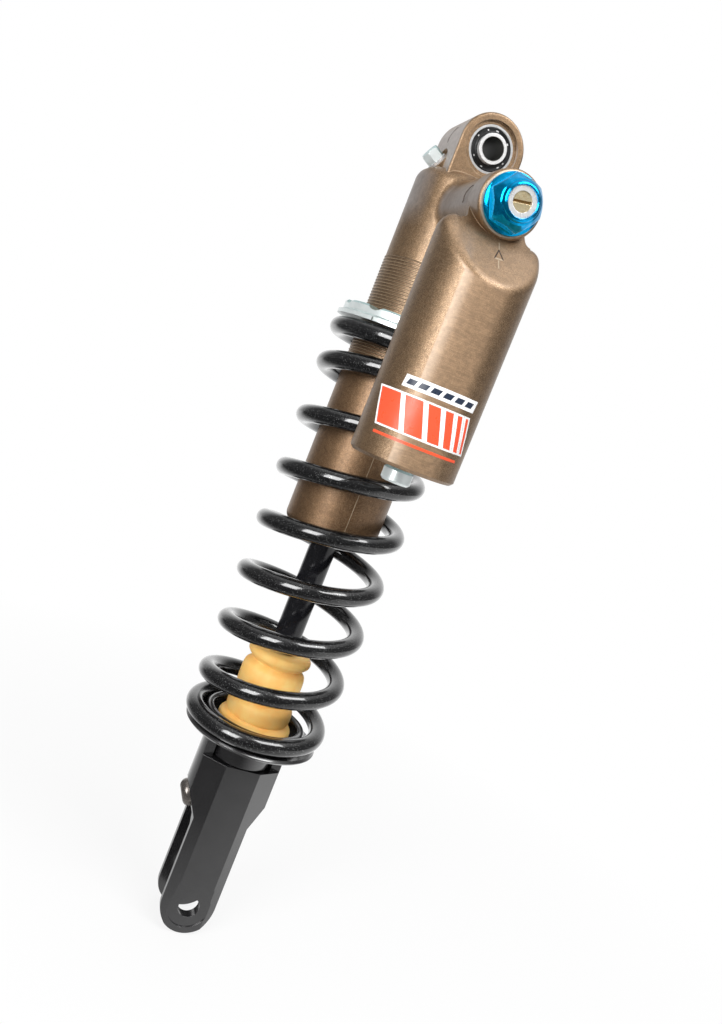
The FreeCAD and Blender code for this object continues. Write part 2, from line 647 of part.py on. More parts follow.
def casting_eye():
    """The eye and the flat-sided neck under it, with their outer edges rounded."""
    eye = solid("Cylinder", "eye_barrel", ALONG_MINUS_Y, ("0", "eye_width / 2", "0"),
                Radius="eye_radius", Height="eye_width")
    neck = solid("Box", "eye_neck", None, ("-eye_radius", "-eye_width / 2", "head_top - head_round"),
                 Length="2 * eye_radius", Width="eye_width", Height="head_drop + head_round")
    sharp = fuse("eye_join", [eye, neck])
    doc.recompute()
    body = doc.addObject("PartDesign::Body", "casting_eye")
    body.BaseFeature = sharp
    round_edges(body, "eye_edges", "eye_edge_round", on_eye_outline)
    return [body]


def bleed_axis(item, along):
    """Puts a body that stands on its own Z axis onto the bleed bolt's axis, along it by a formula."""
    tilt = value("bleed_tilt")
    item.Placement.Rotation = FreeCAD.Rotation(FreeCAD.Vector(0, 1, 0), tilt - 90)
    bind(item,
         Placement__Base__x=f"-bleed_seat_out - ({along}) * cos(bleed_tilt * 1 deg)",
         Placement__Base__z=f"-bleed_seat_drop + ({along}) * sin(bleed_tilt * 1 deg)")
    return item


bleed_boss = bleed_axis(
    solid("Cylinder", "bleed_boss", Radius="bleed_boss_radius", Height="bleed_seat_out * 0.8"),
    "-bleed_seat_out * 0.8")
bleed_front = bleed_axis(
    solid("Cylinder", "bleed_front", Radius="bleed_boss_radius", Height="2 * bleed_hex_height"), "0")
bleed_hole = bleed_axis(
    solid("Cylinder", "bleed_hole", Radius="bleed_thread_radius + fit",
          Height="bleed_thread_length + 2 * cut_past"),
    "-bleed_thread_length - cut_past")


def casting_bores():
    """Everything that is bored or milled out of the casting."""
    eye_bore = solid("Cylinder", "eye_bore", ALONG_MINUS_Y, ("0", "eye_width", "0"),
                     Radius="bearing_radius", Height="2 * eye_width")
    recesses = [
        solid("Cylinder", name, ALONG_MINUS_Y, ("0", start, "0"),
              Radius="eye_recess_radius", Height="eye_recess_depth + cut_past")
        for name, start in (("front_recess", "eye_recess_depth - eye_width / 2"),
                            ("back_recess", "eye_width / 2 + cut_past"))
    ]
    groove_high = "clip_middle + clip_height / 2 + fit"
    groove_low = "clip_middle - clip_height / 2 - fit"
    tube_bore = turned_body("tube_bore", (
        ("0", "bore_top"), ("tube_bore_radius", "bore_top"), ("tube_bore_radius", groove_high),
        ("tube_bore_radius + clip_depth", groove_high), ("tube_bore_radius + clip_depth", groove_low),
        ("tube_bore_radius", groove_low), ("tube_bore_radius", "tube_bottom - cut_past"),
        ("0", "tube_bottom - cut_past")))
    boss_bore = solid("Cylinder", "boss_bore", ALONG_MINUS_Y, ("0", "-boss_bore_end", "boss_height"),
                      Radius="boss_bore_radius", Height="boss_reach - boss_bore_end + cut_past")
    boss_front = solid("Cylinder", "boss_front", ALONG_MINUS_Y, ("0", "-boss_reach", "boss_height"),
                       Radius="boss_radius", Height="reservoir_radius")
    reservoir_bore = ring_body("reservoir_bore", "0", "reservoir_bore_radius",
                               "reservoir_bottom - cut_past", "reservoir_ceiling")
    bind(reservoir_bore, Placement__Base__y="-reservoir_offset")
    tube_port = solid("Cylinder", "tube_port", None, ("0", "-tube_port_out", "bore_top - cut_past"),
                      Radius="port_radius", Height="boss_height - bore_top + cut_past")
    reservoir_port = solid("Cylinder", "reservoir_port", None,
                           ("0", "-reservoir_port_out", "reservoir_ceiling - cut_past"),
                           Radius="port_radius", Height="boss_height - reservoir_ceiling + cut_past")
    return [eye_bore, tube_bore, boss_bore, boss_front, reservoir_bore, tube_port, reservoir_port,
            bleed_front, bleed_hole] + recesses


casting_blank = fuse("casting_blank", [casting_rough(), bleed_boss] + casting_eye())
node("body_casting", cut("body_casting", casting_blank, casting_bores()))


# Bleed bolt and its crush washer


def hexagon_prism(name, width, height):
    """A hexagonal prism on Z, given by its width across the flats."""
    return solid("Prism", name, Polygon="6", Circumradius=f"({width}) / sqrt(3)", Height=height)


node("bleed_washer", bleed_axis(
    ring_body("bleed_washer", "bleed_thread_radius + fit", "bleed_washer_radius", "fit",
              "bleed_washer_thickness"), "0"))
bleed_head = bleed_axis(hexagon_prism("bleed_head", "bleed_hex_width", "bleed_hex_height"),
                        "bleed_washer_thickness + fit")
bleed_crown = bleed_axis(
    turned_body("bleed_crown", (
        ("0", "0"), ("bleed_hex_width", "0"), ("bleed_hex_width / 2", "bleed_hex_height"),
        ("0", "bleed_hex_height"))), "bleed_washer_thickness + fit")
bleed_thread = bleed_axis(
    solid("Cylinder", "bleed_thread", Radius="bleed_thread_radius",
          Height="bleed_thread_length + bleed_washer_thickness + fit"), "-bleed_thread_length")
node("bleed_bolt", fuse("bleed_bolt", [common("bleed_hex", [bleed_head, bleed_crown]), bleed_thread]))


# Compression adjuster, along -Y in the boss


hex_prism = solid("Prism", "hex_prism", None, ("0", "-hex_back", "boss_height"), Polygon="6",
                  Circumradius="hex_corner_radius", Height="hex_height")
hex_prism.Placement.Rotation = FreeCAD.Rotation(FreeCAD.Vector(*ALONG_MINUS_Y[0]), ALONG_MINUS_Y[1]).multiply(
    FreeCAD.Rotation(FreeCAD.Vector(0, 0, 1), value("hex_turn")))
hex_crown = on_boss(turned_body("hex_crown", (
    ("0", "boss_reach"), ("hex_corner_radius", "boss_reach"),
    ("hex_corner_radius", "hex_back + hex_corner_height"),
    ("hex_hub_radius + hex_shoulder", "hex_front"), ("0", "hex_front"))))
hex_flange = on_boss(ring_body("hex_flange", "0", "hex_flange_radius",
                               "boss_reach + running_fit", "hex_back"))
hex_hub = ring_body("hex_hub", "0", "hex_hub_radius", "hex_back", "hub_face")
round_edges(hex_hub, "hub_rim", "hex_hub_round", circle_at(value("hex_hub_radius"), value("hub_face")))
on_boss(hex_hub)
hex_bore = on_boss(ring_body("hex_bore", "0", "stem_radius + running_fit",
                             "boss_reach - cut_past", "hub_face + cut_past"))
hex_solid = fuse("hex_solid", [common("hex_cut", [hex_prism, hex_crown]), hex_flange, hex_hub])
node("high_speed_adjuster", cut("high_speed_adjuster", hex_solid, [hex_bore]))

node("compression_housing", on_boss(turned_body("compression_housing", (
    ("needle_valve_radius + running_fit", "stud_end"), ("stud_radius", "stud_end"),
    ("stud_radius", "valve_face"), ("neck_shaft_radius", "valve_face"), ("neck_shaft_radius", "housing_end"),
    ("boss_bore_radius - fit", "housing_end"), ("boss_bore_radius - fit", "housing_end + groove_edge"),
    ("boss_bore_radius - groove_depth", "housing_end + groove_edge"),
    ("boss_bore_radius - groove_depth", "housing_end + groove_edge + groove_width"),
    ("boss_bore_radius - fit", "housing_end + groove_edge + groove_width"),
    ("boss_bore_radius - fit", "boss_reach"), ("stem_radius", "boss_reach"),
    ("stem_radius", "stem_face"), ("screw_radius + running_fit", "stem_face"),
    ("screw_radius + running_fit", "screw_back - running_fit"),
    ("needle_valve_radius + running_fit", "screw_back - running_fit")))))


def o_ring(name, bore_radius, height):
    """A rubber ring of round section about Z, in the groove of a piece that fits this bore."""
    return solid("Torus", name, None, ("0", "0", height),
                 Radius1=f"{bore_radius} - groove_depth / 2", Radius2="o_ring_radius")


compression_o_ring = solid(
    "Torus", "compression_o_ring", ALONG_MINUS_Y,
    ("0", "-housing_end - groove_edge - groove_width / 2", "boss_height"),
    Radius1="boss_bore_radius - groove_depth / 2", Radius2="o_ring_radius")
node("compression_o_ring", compression_o_ring)

screw_head = on_boss(ring_body("screw_head", "0", "screw_radius", "screw_back", "screw_face"))
screw_slot = solid("Box", "screw_slot", Length="3 * screw_radius", Width="screw_slot_width",
                   Height="screw_slot_depth + cut_past")
facing = FreeCAD.Rotation(FreeCAD.Vector(*ALONG_MINUS_Y[0]), ALONG_MINUS_Y[1])
slot_turn = FreeCAD.Rotation(FreeCAD.Vector(0, 0, 1), value("screw_slot_tilt"))
screw_slot.Placement.Rotation = facing.multiply(slot_turn)
bind(screw_slot,
     Placement__Base__x="-1.5 * screw_radius * cos(screw_slot_tilt * 1 deg)"
                        " + screw_slot_width / 2 * sin(screw_slot_tilt * 1 deg)",
     Placement__Base__y="-screw_face + screw_slot_depth",
     Placement__Base__z="boss_height - 1.5 * screw_radius * sin(screw_slot_tilt * 1 deg)"
                        " - screw_slot_width / 2 * cos(screw_slot_tilt * 1 deg)")
node("low_speed_screw", cut("low_speed_screw", screw_head, [screw_slot]))
node("low_speed_needle", on_boss(turned_body("low_speed_needle", (
    ("0", "stud_end - needle_point"), ("needle_valve_radius", "stud_end + 4 * needle_valve_radius"),
    ("needle_valve_radius", "screw_back - fit"), ("0", "screw_back - fit")))))


def compression_port(number):
    """One of the upright holes in the compression piston, here along the boss."""
    turn = 360.0 * number / value("port_count")
    path = "(stud_radius + boss_bore_radius) / 2"
    return solid("Cylinder", f"compression_port_{number}", ALONG_MINUS_Y,
                 (f"{path} * cos({turn})", "cut_past - valve_end", f"boss_height + {path} * sin({turn})"),
                 Radius="compression_port_radius", Height="compression_piston_height + 2 * cut_past")


compression_blank = on_boss(ring_body("compression_blank", "stud_radius + fit", "boss_bore_radius - fit",
                                      "valve_end", "valve_face - fit"))
node("compression_piston", cut("compression_piston", compression_blank, [
    compression_port(number) for number in range(int(value("port_count")))]))


def shim_stack(name, bore, first_radius, step, start, upward):
    """Thin discs that get smaller away from the piston."""
    discs = []
    for number in range(int(value("shim_count"))):
        low = f"{start} + {number} * (shim_thickness + fit)"
        if not upward:
            low = f"{start} - shim_thickness - {number} * (shim_thickness + fit)"
        discs.append(ring_body(f"{name}_{number}", bore, f"{first_radius} - {number} * {step}",
                               low, f"{low} + shim_thickness"))
    return discs


compression_shims = doc.addObject("Part::Compound", "compression_shims")
compression_shims.Links = [on_boss(disc) for disc in shim_stack(
    "compression_shim", "stud_radius + fit", "compression_shim_radius", "compression_shim_step",
    "valve_end - fit", False)]
node("compression_shims", compression_shims)


# Reservoir: end cap, its seal and clip, bladder, gas valve


def on_reservoir(item):
    bind(item, Placement__Base__y="-reservoir_offset")
    return item


node("reservoir_cap", on_reservoir(turned_body("reservoir_cap", (
    ("valve_radius + fit", "cap_bottom"), ("reservoir_bore_radius - fit", "cap_bottom"),
    ("reservoir_bore_radius - fit", "cap_bottom + groove_edge"),
    ("reservoir_bore_radius - groove_depth", "cap_bottom + groove_edge"),
    ("reservoir_bore_radius - groove_depth", "cap_bottom + groove_edge + groove_width"),
    ("reservoir_bore_radius - fit", "cap_bottom + groove_edge + groove_width"),
    ("reservoir_bore_radius - fit", "cap_top"), ("valve_radius + fit", "cap_top")))))
node("reservoir_cap_o_ring", on_reservoir(o_ring(
    "reservoir_cap_o_ring", "reservoir_bore_radius", "cap_bottom + groove_edge + groove_width / 2")))
node("reservoir_circlip", on_reservoir(ring_body(
    "reservoir_circlip", "reservoir_bore_radius - reservoir_clip_depth", "reservoir_bore_radius - fit",
    "cap_bottom - fit - reservoir_clip_height", "cap_bottom - fit")))

bladder = turned_body("reservoir_bladder", (
    ("bladder_radius - bladder_wall", "cap_top + fit"), ("reservoir_bore_radius - free_gap", "cap_top + fit"),
    ("reservoir_bore_radius - free_gap", "cap_top + bladder_rim_height"),
    ("bladder_radius", "cap_top + 2 * bladder_rim_height"),
    ("bladder_radius", "bladder_top - bladder_radius / 2"), ("bladder_radius * 0.6", "bladder_top"),
    ("0", "bladder_top"), ("0", "bladder_top - bladder_wall"),
    ("bladder_radius * 0.6 - bladder_wall * 0.6", "bladder_top - bladder_wall"),
    ("bladder_radius - bladder_wall", "bladder_top - bladder_radius / 2 - bladder_wall * 0.6")))
node("reservoir_bladder", on_reservoir(bladder))
node("gas_valve", on_reservoir(turned_body("gas_valve", (
    ("0", "valve_bottom"), ("valve_radius", "valve_bottom"), ("valve_radius", "cap_top - fit"),
    ("0", "cap_top - fit")))))
node("gas_valve_cap", on_reservoir(turned_body("gas_valve_cap", (
    ("0", "valve_cap_bottom"), ("valve_cap_radius - edge_bevel", "valve_cap_bottom"),
    ("valve_cap_radius", "valve_cap_bottom + edge_bevel"),
    ("valve_cap_radius", "valve_cap_bottom + valve_cap_height - edge_bevel"),
    ("valve_cap_radius - edge_bevel", "valve_cap_bottom + valve_cap_height"),
    ("valve_radius + fit", "valve_cap_bottom + valve_cap_height"),
    ("valve_radius + fit", "valve_bottom - fit"), ("0", "valve_bottom - fit")))))


# Seal head at the tube's lower end

node("seal_head", turned_body("seal_head", (
    ("oil_seal_radius + fit", "seal_head_bottom"), ("tube_bore_radius - fit", "seal_head_bottom"),
    ("tube_bore_radius - fit", "seal_head_bottom + seal_groove_rise"),
    ("tube_bore_radius - groove_depth", "seal_head_bottom + seal_groove_rise"),
    ("tube_bore_radius - groove_depth", "seal_head_bottom + seal_groove_rise + groove_width"),
    ("tube_bore_radius - fit", "seal_head_bottom + seal_groove_rise + groove_width"),
    ("tube_bore_radius - fit", "seal_head_top - seal_head_bevel"),
    ("tube_bore_radius - seal_head_bevel", "seal_head_top"),
    ("bushing_radius + fit", "seal_head_top"), ("bushing_radius + fit", "bushing_bottom - fit"),
    ("rod_radius + free_gap", "bushing_bottom - fit"),
    ("rod_radius + free_gap", "seal_head_bottom + oil_seal_height + fit"),
    ("oil_seal_radius + fit", "seal_head_bottom + oil_seal_height + fit"))))
node("seal_head_o_ring", o_ring("seal_head_o_ring", "tube_bore_radius",
                                "seal_head_bottom + seal_groove_rise + groove_width / 2"))
node("rod_bushing", ring_body("rod_bushing", "rod_radius + running_fit", "bushing_radius",
                              "bushing_bottom", "bushing_top"))
node("rod_oil_seal", ring_body("rod_oil_seal", "rod_radius + running_fit", "oil_seal_radius",
                               "seal_head_bottom + fit", "seal_head_bottom + oil_seal_height"))
node("seal_head_circlip", ring_body(
    "seal_head_circlip", "tube_bore_radius - clip_depth", "tube_bore_radius + 0.7 * clip_depth",
    "clip_middle - clip_height / 2", "clip_middle + clip_height / 2"))
node("dust_cover", ring_body("dust_cover", "rod_radius + free_gap", "tube_bore_radius - fit",
                             "tube_bottom", "dust_cover_top - fit"))


# Spring, split washer and preload nut


def nut_notch(number):
    """A round-bottomed notch across the top of the nut."""
    turn = math.radians(value("nut_turn") + 360.0 * number / value("nut_notch_count"))
    return solid("Cylinder", f"nut_notch_{number}", ((-math.sin(turn), math.cos(turn), 0), 90),
                 ("0", "0", "nut_top + nut_notch_radius - nut_notch_depth"),
                 Radius="nut_notch_radius", Height="2 * nut_radius")


nut_blank = turned_body("nut_blank", (
    ("tube_radius + running_fit", "nut_bottom"), ("nut_radius - edge_bevel", "nut_bottom"),
    ("nut_radius", "nut_bottom + edge_bevel"), ("nut_radius", "nut_top - edge_bevel"),
    ("nut_radius - edge_bevel", "nut_top"),
    ("tube_radius + running_fit", "nut_top")))
node("preload_nut", cut("preload_nut", nut_blank,
                        [nut_notch(number) for number in range(int(value("nut_notch_count")))]))

washer_ring = ring_body("washer_ring", "tube_radius + free_gap", "washer_radius",
                        "washer_bottom", "washer_top")
washer_gap = doc.addObject("Part::Box", "washer_gap")
washer_gap.Placement.Rotation = FreeCAD.Rotation(FreeCAD.Vector(0, 0, 1), value("washer_split_turn"))
bind(washer_gap, Length="washer_radius + cut_past", Width="washer_split",
     Height="washer_thickness + 2 * cut_past", Placement__Base__z="washer_bottom - cut_past")
node("spring_washer", cut("spring_washer", washer_ring, [washer_gap]))


def turns_in_all():
    return value("upper_end_turns") + value("active_turns") + value("lower_end_turns")


def taken_up(past, rise):
    """Turns' worth of full pitch taken up, this many turns past the middle of an end's rise."""
    if past <= -rise / 2:
        return 0.0
    if past >= rise / 2:
        return past
    return (past + rise / 2) ** 2 / (2 * rise)


def spring_height(turns):
    """Height of the wire's centre after this many turns down from the upper tip."""
    pitch = (value("spring_length") - value("wire_diameter")) / value("active_turns")
    total = turns_in_all()
    if turns <= total / 2:
        drop = taken_up(turns - value("upper_end_turns"), value("upper_rise_turns"))
    else:
        left = total - turns - value("lower_end_turns")
        drop = value("active_turns") - taken_up(left, value("lower_rise_turns"))
    return value("spring_top") - value("wire_radius") - pitch * drop


def spring_point(turns):
    angle = math.radians(value("spring_start_turn")) - 2 * math.pi * turns
    return FreeCAD.Vector(value("coil_radius") * math.cos(angle), value("coil_radius") * math.sin(angle),
                          spring_height(turns))


def spring_direction(turns):
    step = 1e-4
    return (spring_point(turns + step) - spring_point(turns - step)).normalize()


def arc_from(start, direction, end):
    """The arc from start along direction to end, and its direction there."""
    chord = end - start
    sideways = direction - chord * (direction.dot(chord) / chord.dot(chord))
    bend = direction.getAngle(chord)
    middle = start + chord * 0.5 + sideways.normalize() * (chord.Length / 2 * math.tan(bend / 2))
    along = chord * (1 / chord.Length)
    leaving = along * (2 * direction.dot(along)) - direction
    return Part.Arc(start, middle, end).toShape(), leaving


def biarc(start, start_direction, end, end_direction):
    """Two tangent arcs that join two points with the given directions."""
    gap = end - start
    both = start_direction + end_direction
    spread = 2 * (1 - start_direction.dot(end_direction))
    reach = (-gap.dot(both) + math.sqrt(gap.dot(both) ** 2 + spread * gap.dot(gap))) / spread
    joint = (start + end + (start_direction - end_direction) * reach) * 0.5
    first, direction = arc_from(start, start_direction, joint)
    second, direction = arc_from(joint, direction, end)
    return [first, second]


def spring_turns():
    """Quarter turns from tip to tip, the last one short."""
    total = turns_in_all()
    count = math.ceil(total * 4)
    return [total * i / count for i in range(count + 1)]


def spring_solid():
    """The wire as one unbroken tube that follows the coils."""
    edges = []
    turns = spring_turns()
    for a, b in zip(turns, turns[1:]):
        edges += biarc(spring_point(a), spring_direction(a), spring_point(b), spring_direction(b))
    path = Part.Wire(edges)
    section = Part.Wire(Part.Circle(spring_point(0), spring_direction(0), value("wire_radius")).toShape())
    tube = path.makePipeShell([section], True, False)
    return Part.Solid(tube) if tube.ShapeType == "Shell" else tube


def spring_gap():
    """Least distance between the surfaces of two turns, on points along the wire."""
    steps = 60
    total = turns_in_all()
    points = [spring_point(total * i / (steps * 9)) for i in range(steps * 9 + 1)]
    apart = int(0.6 * steps * 9 / total)
    least = min(points[i].distanceToPoint(other)
                for i in range(len(points)) for other in points[i + apart:])
    return least - value("wire_diameter")


coil_spring = doc.addObject("Part::Feature", "coil_spring")
coil_spring.Shape = spring_solid()
coil_spring.Placement = FreeCAD.Placement()
node("coil_spring", coil_spring)


# Rod, piston and valve stacks

node("damper_rod", turned_body("damper_rod", (
    ("rod_bore_radius", "rod_bottom"), ("rod_radius", "rod_bottom"), ("rod_radius", "plate_bottom"),
    ("rod_stud_radius", "plate_bottom"), ("rod_stud_radius", "rod_top"), ("rod_bore_radius", "rod_top"))))
node("top_out_bumper", ring_body("top_out_bumper", "rod_radius + free_gap",
                                 "rod_radius + free_gap + bumper_wall", "bumper_bottom", "bumper_top"))
node("top_out_plate", ring_body("top_out_plate", "rod_stud_radius + fit", "top_out_plate_radius",
                                "plate_bottom + fit", "plate_top"))


def port_ring(name, path_radius, low, high):
    """Upright holes, evenly spaced on a circle."""
    count = int(value("port_count"))
    return [
        solid("Cylinder", f"{name}_{number}", None,
              (f"({path_radius}) * cos({360.0 * number / count})",
               f"({path_radius}) * sin({360.0 * number / count})", low),
              Radius="piston_port_radius", Height=f"{high} - ({low})")
        for number in range(count)
    ]


band_low = "(piston_bottom + piston_top - piston_band_height) / 2"
band_high = "(piston_bottom + piston_top + piston_band_height) / 2"
band_inner = "tube_bore_radius - running_fit - piston_band_depth"
piston_blank = turned_body("piston_blank", (
    ("rod_stud_radius + fit", "piston_bottom"), ("tube_bore_radius - free_gap", "piston_bottom"),
    ("tube_bore_radius - free_gap", f"{band_low} - fit"), (f"{band_inner} - fit", f"{band_low} - fit"),
    (f"{band_inner} - fit", f"{band_high} + fit"), ("tube_bore_radius - free_gap", f"{band_high} + fit"),
    ("tube_bore_radius - free_gap", "piston_top"), ("rod_stud_radius + fit", "piston_top")))
piston_ports = port_ring("piston_port", "piston_port_path",
                         "piston_bottom - cut_past", "piston_top + cut_past")
node("piston", cut("piston", piston_blank, piston_ports))
node("piston_band", ring_body("piston_band", band_inner, "tube_bore_radius - running_fit",
                              band_low, band_high))

compression_stack = doc.addObject("Part::Compound", "compression_stack")
compression_stack.Links = shim_stack("compression_leaf", "rod_stud_radius + fit", "shim_radius", "shim_step",
                                     "piston_bottom - fit", False)
node("compression_stack", compression_stack)
rebound_stack = doc.addObject("Part::Compound", "rebound_stack")
rebound_stack.Links = shim_stack("rebound_leaf", "rod_stud_radius + fit", "shim_radius", "shim_step",
                                 "piston_top + fit", True)
node("rebound_stack", rebound_stack)

rod_nut_prism = hexagon_prism("rod_nut_prism", "rod_nut_width", "rod_nut_height")
place(rod_nut_prism, ("0", "0", "rod_nut_bottom"))
rod_nut_bore = solid("Cylinder", "rod_nut_bore", None, ("0", "0", "rod_nut_bottom - cut_past"),
                     Radius="rod_stud_radius + fit", Height="rod_nut_height + 2 * cut_past")
node("rod_nut", cut("rod_nut", rod_nut_prism, [rod_nut_bore]))
node("rebound_rod", turned_body("rebound_rod", (
    ("0", "rebound_rod_bottom"), ("rebound_rod_radius", "rebound_rod_bottom"),
    ("rebound_rod_radius", "rebound_rod_top - rebound_taper_length"),
    ("rebound_rod_radius - rebound_taper", "rebound_rod_top"), ("0", "rebound_rod_top"))))


# Bump stop: foamed rubber in ribs, standing in the lower seat's cup

middle_low = "bump_bottom + bump_foot_height + bump_low_rib_height + bump_groove_width"
middle_high = middle_low + " + bump_middle_height"
low_high = "bump_bottom + bump_foot_height + bump_low_rib_height"
groove_radius = "bump_stop_radius - bump_groove_depth"
node("bump_stop", turned_body("bump_stop", (
    ("rod_radius + free_gap", "bump_bottom"),
    ("bump_foot_radius - bump_bevel / 2", "bump_bottom"),
    ("bump_foot_radius", "bump_bottom + bump_bevel / 2"),
    ("bump_foot_radius", "bump_bottom + bump_foot_height - bump_bevel"),
    ("bump_foot_radius - bump_bevel", "bump_bottom + bump_foot_height"),
    ("bump_low_rib_radius - bump_crease_depth", "bump_bottom + bump_foot_height + 0.3 * bump_bevel"),
    ("bump_low_rib_radius", "bump_bottom + bump_foot_height + bump_bevel"),
    ("bump_low_rib_radius", f"{low_high} - bump_bevel"),
    ("bump_low_rib_radius - bump_bevel", f"{low_high}"),
    (groove_radius, f"{low_high} + 0.4 * bump_groove_width"),
    (groove_radius, f"{low_high} + 0.6 * bump_groove_width"),
    ("bump_stop_radius - bump_bevel", middle_low),
    ("bump_stop_radius", f"{middle_low} + bump_bevel"),
    ("bump_stop_radius", f"{middle_high} - bump_bevel"),
    ("bump_stop_radius - bump_bevel", middle_high),
    (groove_radius, f"{middle_high} + 0.4 * bump_groove_width"),
    (groove_radius, f"{middle_high} + 0.6 * bump_groove_width"),
    ("bump_stop_radius - bump_bevel", f"{middle_high} + bump_groove_width"),
    ("bump_stop_radius", f"{middle_high} + bump_groove_width + bump_bevel"),
    ("bump_stop_radius", "bump_top - bump_bevel"),
    ("bump_stop_radius - bump_bevel", "bump_top"),
    ("rod_radius + free_gap", "bump_top"))))


# Lower spring seat and its lock ring


def lower_seat():
    """Flange, centring ring and floor in one turning."""
    body = turned_body("lower_spring_seat", (
        ("rod_radius + fit", "seat_bottom"), ("seat_radius - edge_bevel", "seat_bottom"),
        ("seat_radius", "seat_bottom + edge_bevel"), ("seat_radius", "seat_top - edge_bevel"),
        ("seat_radius - edge_bevel", "seat_top"),
        ("cup_radius", "seat_top"), ("cup_radius", "cup_top"), ("cup_radius - cup_wall", "cup_top"),
        ("cup_radius - cup_wall", "cup_floor_top"), ("rod_radius + fit", "cup_floor_top")))
    round_edges(body, "cup_lip", "cup_wall / 2 - 2 * running_fit", lambda edge, shape: (
        circle_at(value("cup_radius"), value("cup_top"))(edge, shape)
        or circle_at(value("cup_radius") - value("cup_wall"), value("cup_top"))(edge, shape)))
    return body


node("lower_spring_seat", lower_seat())
node("lock_ring", turned_body("lock_ring", (
    ("rod_radius + fit", "lock_ring_bottom"), ("lock_ring_radius - edge_bevel", "lock_ring_bottom"),
    ("lock_ring_radius", "lock_ring_bottom + edge_bevel"),
    ("lock_ring_radius", "lock_ring_top - edge_bevel"),
    ("lock_ring_radius - edge_bevel", "lock_ring_top"), ("rod_radius + fit", "lock_ring_top"))))


# Clevis and the rebound adjuster in its slanted side

clevis_turning = turned_body("clevis_turning", (
    ("0", "bolt_height - 2 * ear_radius"), ("clevis_radius", "bolt_height - 2 * ear_radius"),
    ("clevis_radius", "clevis_top - clevis_bevel"), ("clevis_radius - clevis_bevel", "clevis_top"),
    ("0", "clevis_top")))
clevis_plan = padded_body("clevis_plan", "XY_Plane", (
    ("facet_half_width", "-clevis_width / 2"), ("clevis_radius", "-facet_depth"),
    ("clevis_radius", "facet_depth"), ("facet_half_width", "clevis_width / 2"),
    ("-facet_half_width", "clevis_width / 2"), ("-clevis_radius", "facet_depth"),
    ("-clevis_radius", "-facet_depth"), ("-facet_half_width", "-clevis_width / 2")),
    "2 * eye_to_eye + 4 * ear_radius")
clevis_side = padded_body("clevis_side", "XZ_Plane", (
    ("-ear_radius", "bolt_height"), ("ear_radius", "bolt_height"), ("ear_radius", "ear_top"),
    ("clevis_radius", "shoulder_height"), ("clevis_radius", "clevis_top"), ("-clevis_radius", "clevis_top"),
    ("-clevis_radius", "shoulder_height"), ("-ear_radius", "ear_top")), "2 * clevis_width")
ear_end = solid("Cylinder", "ear_end", ALONG_MINUS_Y, ("0", "clevis_width", "bolt_height"),
                Radius="ear_radius", Height="2 * clevis_width")
clevis_profile = fuse("clevis_profile", [clevis_side, ear_end])
clevis_blank = common("clevis_blank", [clevis_turning, clevis_plan, clevis_profile])

ear_slot = padded_body("ear_slot", "YZ_Plane", (
    ("slot_width / 2", "bolt_height - 2 * ear_radius"), ("slot_width / 2", "slot_top - slot_round"),
    ("slot_width / 2 - slot_round", "slot_top"), ("slot_round - slot_width / 2", "slot_top"),
    ("-slot_width / 2", "slot_top - slot_round"), ("-slot_width / 2", "bolt_height - 2 * ear_radius")),
    "4 * clevis_radius")
bolt_hole = solid("Cylinder", "bolt_hole", ALONG_MINUS_Y, ("0", "clevis_width", "bolt_height"),
                  Radius="bolt_hole_radius", Height="2 * clevis_width")
lock_ring_seat = solid("Box", "lock_ring_seat", None,
                       ("-lock_ring_radius - lock_ring_gap", "-clevis_width", "clevis_floor"),
                       Length="2 * (lock_ring_radius + lock_ring_gap)", Width="2 * clevis_width",
                       Height="2 * clevis_wall_rise")
facet_trims = [
    solid("Box", name, None, ("-2 * clevis_radius", start, "clevis_floor"),
          Length="4 * clevis_radius", Width="clevis_width", Height="2 * clevis_wall_rise")
    for name, start in (("front_trim", "-facet_depth - clevis_width"), ("back_trim", "facet_depth"))
]
rod_socket = solid("Cylinder", "rod_socket", None, ("0", "0", "rod_bottom - fit"),
                   Radius="rod_radius + fit", Height="clevis_top - rod_bottom")
tip_socket = solid("Cylinder", "tip_socket", None, ("0", "0", "tip_height"),
                   Radius="rod_bore_radius", Height="clevis_top - tip_height")


def ear_faces():
    """Tools that mill both ear ends: the flat end and the round face about the bolt."""
    tools = []
    for side, flat_start, round_start in (
            ("front", "-clevis_width / 2 - cut_past", "pad_depth + spot_face_depth - clevis_width / 2"),
            ("back", "clevis_width / 2 - pad_depth", "clevis_width / 2 + cut_past")):
        tools.append(solid("Box", side + "_pad", None,
                           ("-2 * ear_radius", flat_start, "bolt_height - 2 * ear_radius"),
                           Length="4 * ear_radius", Width="cut_past + pad_depth",
                           Height="2 * ear_radius + pad_length"))
        tools.append(solid("Cylinder", side + "_spot", ALONG_MINUS_Y, ("0", round_start, "bolt_height"),
                           Radius="spot_face_radius", Height="cut_past + pad_depth + spot_face_depth"))
    return tools


def on_slant(item, depth):
    """Puts a body that stands on its own Z axis onto the adjuster's axis, pointing out of the clevis."""
    lean = math.degrees(math.atan2(value("slant_run"), value("slant_rise")))
    item.Placement.Rotation = FreeCAD.Rotation(FreeCAD.Vector(0, 1, 0), -90 - lean)
    bind(item,
         Placement__Base__x=f"({depth} - tip_depth) * slant_middle_out / tip_depth",
         Placement__Base__z=f"tip_height + ({depth} - tip_depth) * slant_middle_drop / tip_depth")
    return item


adjuster_hole = on_slant(solid("Cylinder", "adjuster_hole", Radius="adjuster_shank_radius + running_fit",
                               Height="tip_depth + cut_past"), "tip_depth")
node("clevis", cut("clevis", clevis_blank, [
    ear_slot, bolt_hole, lock_ring_seat, rod_socket, tip_socket, adjuster_hole] + facet_trims + ear_faces()))


